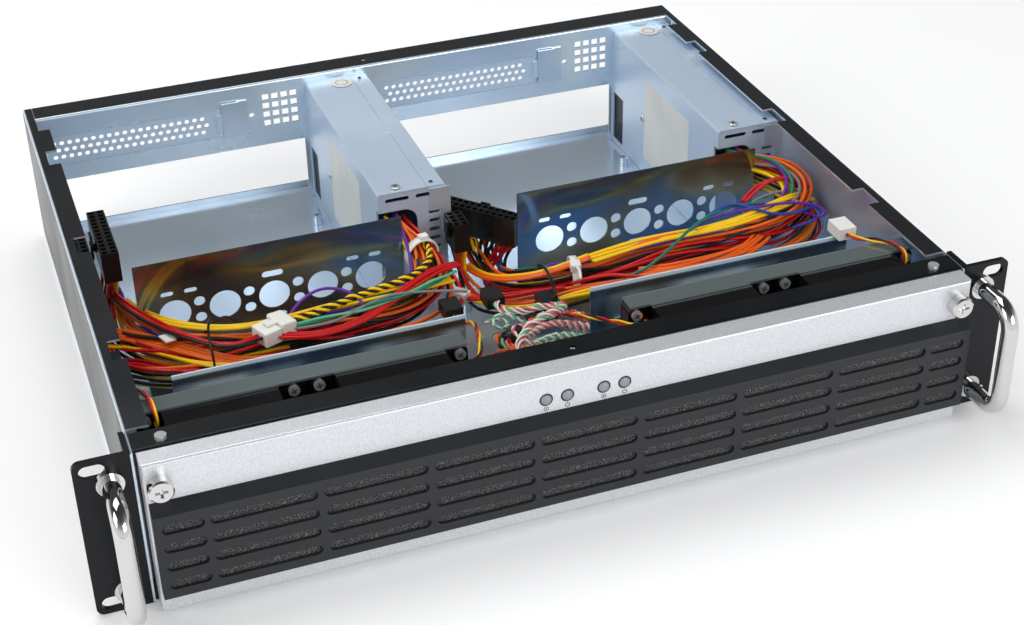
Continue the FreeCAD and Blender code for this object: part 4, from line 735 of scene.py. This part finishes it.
RIGHT_SPARE_EXTRAS = [
    flat_wires("right_low_yellow_wires", [
        (90, 100, 51), (76, 102, 52), (59, 106, 51), (42, 109, 49), (29, 111, 46), (14, 116, 43),
        (2, 127, 40), (-5, 143, 37), (-7, 160, 34)], ["yellow", "yellow", "orange"], 2.1, 1.0, 17),
    tie("right_twist_tie", [
        (37, 148, 47), (38.5, 154, 38), (36, 152, 29), (33, 140, 26), (30, 122, 27), (28, 106, 31),
        (28, 98, 40), (28.5, 98, 49), (30, 105, 54.5), (32, 115, 56), (34, 127, 55), (36, 138, 52),
        (37, 147, 47.5)], 0.9, BLACK_TIE),
    tie("right_twist_tie_tail", [
        (30, 105, 54.5), (26, 99, 56), (22, 95, 54), (24, 90, 51), (29, 93, 50)], 0.8, BLACK_TIE),
]

supply_lead("main_lead_left", [
    (-31, 203, 62), (-31, 189, 61.5), (-26.5, 176, 57), (-24, 161, 51), (-30, 147, 47),
    (-44, 138, 46), (-63, 133, 47), (-85, 131, 48), (-107, 131, 46), (-128, 130, 45),
    (-148, 130, 46), (-167, 133, 47), (-181, 142, 47), (-190, 156, 45), (-193, 173, 41),
    (-193, 190, 38), (-193, 204, 41), (-193, 215, 50), (-193, 215, 64)],
    MAIN_LEAD, 90, 3, (0.52,))
supply_lead("spare_lead_left", [
    (-24.5, 203, 51.5), (-24.5, 189, 50.5), (-18, 175, 47), (-13, 159, 43), (-14, 142, 41),
    (-24, 126, 41), (-42, 116, 43), (-66, 111, 45), (-92, 110, 46), (-118, 109, 45),
    (-144, 108, 45), (-168, 110, 46), (-188, 117, 46), (-201, 130, 44), (-206.5, 147, 41),
    (-207, 165, 38), (-207, 182, 37), (-207, 197, 40), (-207, 208, 49), (-207, 208, 62)],
    SPARE_LEAD, -90, 5, ())
supply_lead("main_lead_right", [
    (181.3, 203, 62), (183.5, 190, 62), (192.5, 177, 63), (198, 163, 64), (200, 147, 62),
    (192, 134, 58), (176, 127, 55), (156, 125, 53), (135, 127, 51), (113, 130, 48.5),
    (91, 131, 47), (70, 133, 45), (51, 137, 42), (35, 146, 37), (25, 159, 31),
    (20.5, 174, 26), (20, 188, 24), (20, 199, 31), (20, 199, 43)],
    MAIN_LEAD, -49, 7, (0.66,))
supply_lead("spare_lead_right", [
    (187.8, 203, 51.5), (189.5, 190, 51), (197, 177, 51), (204, 161, 50), (206, 144, 47),
    (200, 128, 45), (185, 116, 45), (164, 109, 46), (140, 107, 47), (116, 108, 46),
    (92, 110, 45), (69, 113, 44), (47, 117, 43), (27, 122, 41), (11, 131, 37),
    (2.5, 145, 32), (1, 160, 28), (1, 174, 28), (1, 184, 36), (1, 184, 48)],
    SPARE_LEAD, 90, 9, ())

thin_lead("fan_lead_1", [
    (-197.6, 37, 75.5), (-197.6, 32, 75.5), (-197.6, 28.6, 79.5), (-197.8, 29.6, 84),
    (-198.2, 34.5, 86.2), (-199, 43, 86.2), (-201, 52, 84), (-204, 62, 78.5), (-206.5, 74, 71),
    (-207.5, 87, 63), (-207, 99, 57), (-206, 110, 54), (-206, 120, 54)],
    FAN_LEAD, 2.5, 11)
thin_lead("fan_lead_2", [
    (-52.3, 37, 73), (-52.3, 31.5, 73), (-50.5, 27.5, 75), (-45.5, 26, 77), (-39.5, 29, 78),
    (-36, 36, 78.5), (-34, 46, 77), (-31, 56, 74), (-28, 67, 70), (-26, 79, 64),
    (-26, 90, 58), (-27, 99, 54), (-27, 107, 53)],
    FAN_LEAD, 2.5, 12)
thin_lead("fan_lead_3", [
    (52.3, 37, 73), (52.3, 31.5, 73), (50.5, 27.5, 75.5), (46, 26.5, 77.5), (40.5, 29.5, 77.5),
    (36.5, 37, 75), (34, 47, 71), (31.5, 58, 67), (29, 69, 62), (27, 81, 56), (26, 92, 51),
    (25.5, 99, 50)],
    FAN_LEAD, 2.5, 13)
thin_lead("fan_lead_4", [
    (197.7, 37, 73.5), (197.7, 32, 73.5), (197.7, 28.6, 78), (198, 30, 84), (196, 35.5, 86),
    (192, 43, 85.6), (186.5, 50, 84), (182.5, 55, 83), (181, 60, 83)],
    FAN_LEAD, 1.5, 14, [
        loose_wires("right_fan_lead_beyond", [
            (181, 61, 82), (181, 66, 80), (177, 70, 76), (169, 71, 73), (159, 69, 70), (150, 66, 68),
            (143, 67, 63)], ["mint", "yellow", "red"], 0.6, 0.8, 3, 18)])

PANEL_EXTRAS = [
    loose_wires("panel_twists_rear", [
        (44, 70, 52), (38, 76, 54), (29, 84, 55), (18, 87, 55), (8, 84, 54), (2, 79, 53), (-4, 73, 54),
        (-11, 67, 56)], ["pink", "white", "pink", "red"], 0.75, 1.9, 7, 19),
    loose_wires("panel_twists_middle", [
        (45, 66, 48), (36, 71, 51), (26, 77, 53), (16, 79, 54), (7, 77, 53), (-1, 71, 53), (-8, 62, 56)],
        ["pink", "white"] * 2, 0.75, 2.1, 8, 20),
    loose_wires("panel_twists_front", [
        (46, 61, 46), (36, 64, 48), (25, 69, 50), (15, 71, 51), (6, 69, 51), (-2, 64, 52), (-9, 57, 56)],
        ["mint", "white"] * 2, 0.75, 1.9, 7, 21),
    loose_wires("panel_twists_low", [
        (44, 57, 42), (34, 59, 43), (23, 62, 45), (12, 63, 47), (3, 61, 49), (-6, 55, 54)],
        ["white", "pink", "mint", "white"], 0.75, 1.9, 6, 22),
    loose_wires("panel_green_curl", [
        (8, 84, 52), (2, 90, 54), (-3, 94, 56), (-9, 94, 56), (-12, 89, 55), (-10, 85, 53),
        (-5, 86, 52), (-2, 91, 52), (-7, 97, 53), (-14, 95, 52)], ["mint", "white"], 0.65, 0.7, 9, 23),
    loose_wires("panel_pink_loop", [
        (2, 80, 55), (-3, 78, 58), (-7, 72, 60), (-7, 66, 60), (-3, 61, 58), (3, 59, 55), (8, 57, 52)],
        ["pink", "white"], 0.7, 0.8, 5, 24),
    strap("panel_black_tape", (-7, 72, 54), 40, 5.6, 5.0, 11, 0.7, BLACK_PLASTIC),
    loose_wires("panel_sleeved_wires", [
        (-12, 80, 52), (-15, 74, 56), (-17, 66, 60), (-17, 57, 62), (-13, 50, 62), (-9, 46, 58)],
        ["orange", "pink", "mint", "black"], 0.75, 1.8, 2.2, 25),
    flat_wires("panel_orange_loop", [
        (-20, 62, 52), (-20, 58, 58), (-17, 53, 62), (-12, 51, 63), (-8, 54, 61), (-7, 60, 56)],
        ["orange", "orange"], 1.8, 0.8, 26),
]
thin_lead("panel_lead", [
    (0, -4.5, 73.5), (0, 5, 73.5), (-5, 14, 72), (-13, 22, 71), (-17, 33, 72), (-13, 44, 74),
    (-3, 52, 75), (9, 57, 75), (19, 64, 72), (21, 75, 67), (14, 84, 62), (4, 90, 58),
    (-3, 98, 55), (-3, 108, 54)],
    PANEL_LEAD, 9, 15, PANEL_EXTRAS)


# ---------------------------------------------------------------- small finish and painted shade on the CAD pieces

# Flat marks start this far above their surface, in millimetres.
LIFT = 0.02
FRONT = (0, -1, 0)
UP = (0, 0, 1)
LEFT = (-1, 0, 0)


def disc(name, centre, normal, radius, thick, material):
    """A thin round plate lying on a surface; centre is on the surface."""
    steps = 32
    normal = Vector(normal).normalized()
    across = normal.orthogonal().normalized()
    up = normal.cross(across)
    middle = at(*centre)
    vertices, faces = [], []
    for height in (LIFT, thick):
        for i in range(steps):
            angle = 2 * math.pi * i / steps
            direction = across * math.cos(angle) + up * math.sin(angle)
            vertices.append(tuple(middle + direction * radius * MM + normal * height * MM))
    faces.append(tuple(reversed(range(steps))))
    faces.append(tuple(range(steps, 2 * steps)))
    faces += [(i, (i + 1) % steps, steps + (i + 1) % steps, steps + i) for i in range(steps)]
    return case_piece(name, vertices, faces, [material], smooth=False)


def ring(name, centre, normal, inner, outer, thick, material, steps=40, span=(0, 360)):
    """A thin ring, or an arc of one, lying on a surface."""
    normal = Vector(normal).normalized()
    across = Vector((1, 0, 0)) if abs(normal.x) < 0.9 else Vector((0, 1, 0))
    up = normal.cross(across)
    middle = at(*centre)
    whole = span[1] - span[0] >= 360
    count = steps if whole else steps + 1
    vertices, faces = [], []
    for i in range(count):
        angle = math.radians(span[0] + (span[1] - span[0]) * i / steps)
        direction = across * math.cos(angle) + up * math.sin(angle)
        for radius, height in ((inner, LIFT), (outer, LIFT), (outer, thick), (inner, thick)):
            vertices.append(tuple(middle + direction * radius * MM + normal * height * MM))
    for i in range(steps):
        a, b = 4 * i, 4 * ((i + 1) % count)
        faces += [(a + j, a + (j + 1) % 4, b + (j + 1) % 4, b + j) for j in range(4)]
    if not whole:
        faces += [(0, 1, 2, 3), (4 * steps + 3, 4 * steps + 2, 4 * steps + 1, 4 * steps)]
    return case_piece(name, vertices, faces, [material], smooth=False)


def cross_recess(name, centre, normal, radius, low, high, turn=20):
    """A screw head's cross recess, as two dark bars of painted shade sunk in it from low to high."""
    bar_reach, bar_half = 0.62, 0.13
    normal = Vector(normal).normalized()
    across = normal.orthogonal().normalized()
    vertices, faces = [], []
    for k in (0, 1):
        direction = Matrix.Rotation(math.radians(turn + 90 * k), 3, normal) @ across
        side = normal.cross(direction)
        base = len(vertices)
        for height in (low, high + 0.01 * k):
            for along, out in ((-1, -1), (1, -1), (1, 1), (-1, 1)):
                spot = (at(*centre) + direction * along * radius * bar_reach * MM
                        + side * out * radius * bar_half * MM + normal * height * MM)
                vertices.append(tuple(spot))
        faces += [(base, base + 3, base + 2, base + 1), (base + 4, base + 5, base + 6, base + 7)]
        faces += [(base + i, base + (i + 1) % 4, base + 4 + (i + 1) % 4, base + 4 + i) for i in range(4)]
    # The bars are dark as painted shade in the recess.
    case_piece(name, vertices, faces, [PRINT_AND_SHADE], smooth=False)


def cross_screw(name, centre, normal, radius, material):
    """A shallow screw head with softened edges and a cross recess of painted shade."""
    height = 0.9
    soften(disc(name, centre, normal, radius, height, material), 0.35)
    cross_recess(name + "_recess", centre, normal, radius, height - 0.1, height + 0.03)


def fan_screw_recesses():
    """Cross recesses of painted shade in the upper two screw heads of each front fan."""
    screw_shift, head_radius = 35.75, 2.6
    low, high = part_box("fan_screws")
    heads_y = (low.y - EAR_FACE) / MM
    heads_z = (low.z + high.z) / 2 / MM
    for place in range(1, 5):
        frame_low, frame_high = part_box("fan_frame_%d" % place)
        middle = (frame_low.x + frame_high.x) / 2 / MM
        for step, shift in enumerate((-screw_shift, screw_shift)):
            cross_recess("fan_screw_recess_%d_%d" % (place, step + 1), (middle + shift, heads_y, heads_z),
                         FRONT, head_radius, -0.5, 0.04, 15 + 35 * step + 20 * place)


def supply_details_and_hole_shade(side):
    """Seal, screws, dark holes of painted shade and blank label of a supply, placed from its
    front left corner.
    """
    seal, top_screw, front_hole, rear_hole = (21.5, 151), (12, 5.2), (33, 4.6), (34, 154)
    seal_radius, seal_thick, hole_radius = 6.6, 0.12, 1.2
    label_y, label_z = (40, 107), (14, 70)
    side_screw_y, side_screw_z = 109.5, 41
    low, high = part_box("supply_case_" + side)
    x0 = low.x / MM
    y0 = (low.y - EAR_FACE) / MM
    top = max(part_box("supply_cover_" + side)[1].z, high.z) / MM

    def on_top(place, lift=0.0):
        return (x0 + place[0], y0 + place[1], top + lift)

    disc("supply_seal_" + side, on_top(seal), UP, seal_radius, seal_thick, PAPER)
    ring("supply_seal_ring_" + side, on_top(seal, seal_thick), UP, 3.6, 4.0, 0.03, PRINT_AND_SHADE)
    cross_screw("supply_top_screw_" + side, on_top(top_screw), UP, 2.9, SCREW)
    # The holes are dark discs of painted shade, not cut openings.
    disc("supply_hole_front_" + side, on_top(front_hole), UP, hole_radius, 0.06, PRINT_AND_SHADE)
    disc("supply_hole_rear_" + side, on_top(rear_hole), UP, hole_radius, 0.06, PRINT_AND_SHADE)
    corners = [tuple(at(x0 - 0.05, y0 + label_y[i], label_z[j]))
               for i, j in ((0, 0), (1, 0), (1, 1), (0, 1))]
    label = case_piece("supply_label_" + side, corners, [(0, 1, 2, 3)], [PAPER], smooth=False)
    thickness = label.modifiers.new("thickness", "SOLIDIFY")
    thickness.thickness = 0.1 * MM
    thickness.offset = 0
    cross_screw("supply_side_screw_" + side, (x0, y0 + side_screw_y, side_screw_z), LEFT, 2.6, SCREW)


def light_marks():
    """Dark rims round the front lights, with plain drive and power marks under them."""
    inner_x, outer_inset, mark_drop = 9.4, 2.8, 5.4
    rim, mark, print_depth = (2.75, 3.45), (1.0, 1.3), 0.05
    low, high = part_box("status_lights")
    face_y = (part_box("bezel")[0].y - EAR_FACE) / MM
    light_z = (low.z + high.z) / 2 / MM
    mark_z = light_z - mark_drop
    outer_x = (high.x - low.x) / 2 / MM - outer_inset
    for place, x in enumerate((-outer_x, -inner_x, inner_x, outer_x)):
        ring("light_rim_%d" % (place + 1), (x, face_y, light_z), FRONT, *rim, 0.15, PRINT_AND_SHADE)
        spot = (x, face_y, mark_z)
        if place % 2:
            ring("power_mark_%d" % place, spot, FRONT, 0.95, 1.3, print_depth, PRINT_AND_SHADE, 30, (120, 420))
            turned_box("power_stroke_%d" % place, (x, face_y - 0.03, mark_z + 0.975),
                       (0.17, 0.02, 0.625), 0, PRINT_AND_SHADE, 0, 0.01)
        else:
            ring("drive_mark_%d" % place, spot, FRONT, *mark, print_depth, PRINT_AND_SHADE)
            disc("drive_hub_%d" % place, spot, FRONT, 0.45, print_depth, PRINT_AND_SHADE)


fan_screw_recesses()
for side in ("left", "right"):
    supply_details_and_hole_shade(side)
light_marks()


# ---------------------------------------------------------------- camera, floor and light

# The photo's camera, solved from the case's known sizes: lens and frame width in millimetres,
# shift, place in the case's frame, and azimuth, elevation and roll in degrees.
LENS = 62.5
FRAME_WIDTH = 36
SHIFT = (0.0020, -0.0014)
CAMERA_PLACE = (-267.68, -656.59, 562.83)
CAMERA_ANGLES = (-19.61, 32.42, -1.16)


def make_camera():
    data = bpy.data.cameras.new("camera")
    data.sensor_width = FRAME_WIDTH
    data.lens = LENS
    data.shift_x, data.shift_y = SHIFT
    data.clip_start = 0.01
    data.clip_end = 50
    camera = bpy.data.objects.new("camera", data)
    bpy.context.scene.collection.objects.link(camera)
    azimuth, elevation, roll = (math.radians(angle) for angle in CAMERA_ANGLES)
    back = Vector((math.sin(azimuth) * math.cos(elevation),
                   -math.cos(azimuth) * math.cos(elevation), math.sin(elevation)))
    level = (-back).cross(Vector((0, 0, 1))).normalized()
    upright = level.cross(-back)
    right = level * math.cos(roll) + upright * math.sin(roll)
    up = upright * math.cos(roll) - level * math.sin(roll)
    turn = Matrix((right, up, back)).transposed().to_4x4()
    camera.matrix_world = Matrix.Translation(at(*CAMERA_PLACE)) @ turn
    bpy.context.scene.camera = camera


def make_floor():
    """A near-white floor, far wider than the case, that keeps the case's shadow. It glows a little
    for the camera and in reflections."""
    reach, drop, glow = 12, 0.0002, 0.12
    material, tree, shader = new_material("floor", grey(0.93), 0.0, 0.8)
    shader.inputs["Emission Color"].default_value = (1, 1, 1, 1)
    path = node(tree, "ShaderNodeLightPath")
    seen = either(tree, either(tree, path.outputs["Is Camera Ray"], path.outputs["Is Glossy Ray"]),
                  path.outputs["Is Transmission Ray"])
    tree.links.new(calculate(tree, "MULTIPLY", seen, glow), shader.inputs["Emission Strength"])
    corners = [(-reach, -reach, 0), (reach, -reach, 0), (reach, reach, 0), (-reach, reach, 0)]
    floor = mesh_object("floor", corners, [(0, 1, 2, 3)], [material])
    floor.location.z = -drop


def make_world():
    """Even studio light. The camera sees white, and reflections darken upward, sooner toward the
    rear than toward the front."""
    world = bpy.data.worlds.new("studio")
    bpy.context.scene.world = world
    world.use_nodes = True
    tree = world.node_tree
    background = tree.nodes["Background"]
    background.inputs["Strength"].default_value = 1
    direction = node(tree, "ShaderNodeTexCoord")
    split = node(tree, "ShaderNodeSeparateXYZ")
    tree.links.new(direction.outputs["Generated"], split.inputs["Vector"])
    rear = ramp(tree, split.outputs["Z"], [
        (0.0, grey(1.0)), (0.10, grey(0.90)), (0.26, grey(0.24)), (0.50, grey(0.07)), (0.9, grey(0.05))])
    front = ramp(tree, split.outputs["Z"], [
        (0.0, grey(1.0)), (0.30, grey(0.80)), (0.50, (0.34, 0.38, 0.44)), (0.75, grey(0.10)),
        (0.95, grey(0.05))])
    toward = node(tree, "ShaderNodeMath", operation="MULTIPLY_ADD", use_clamp=True)
    for socket, value in zip(toward.inputs, (split.outputs["Y"], -2.5, 0.2)):
        feed(tree, socket, value)
    room = mixed(tree, rear, front, toward.outputs["Value"], "MIX")
    path = node(tree, "ShaderNodeLightPath")
    ambient = (0.46, 0.465, 0.475)
    reflected = either(tree, path.outputs["Is Glossy Ray"], path.outputs["Is Transmission Ray"])
    color = mixed(tree, ambient, room, reflected, "MIX")
    color = mixed(tree, color, grey(1.0), path.outputs["Is Camera Ray"], "MIX")
    tree.links.new(color, background.inputs["Color"])


def softbox(name, place, target, width, height, power):
    """A rectangular lamp in metres and watts, facing its target."""
    data = bpy.data.lights.new(name, "AREA")
    data.shape = "RECTANGLE"
    data.size = width
    data.size_y = height
    data.energy = power
    lamp = bpy.data.objects.new(name, data)
    bpy.context.scene.collection.objects.link(lamp)
    lamp.location = place
    lamp.rotation_euler = (Vector(target) - Vector(place)).to_track_quat("-Z", "Y").to_euler()


bpy.context.scene.view_settings.view_transform = "Standard"
make_camera()
make_floor()
make_world()
softbox("overhead", (-0.3, 0.5, 1.5), (0, 0, 0), 1.4, 0.9, 11)
softbox("left", (-1.5, -0.5, 1.0), (0, 0, 0.04), 0.9, 0.9, 9)
softbox("front", (0.7, -1.6, 0.9), (0, 0, 0.04), 1.2, 0.7, 10.5)
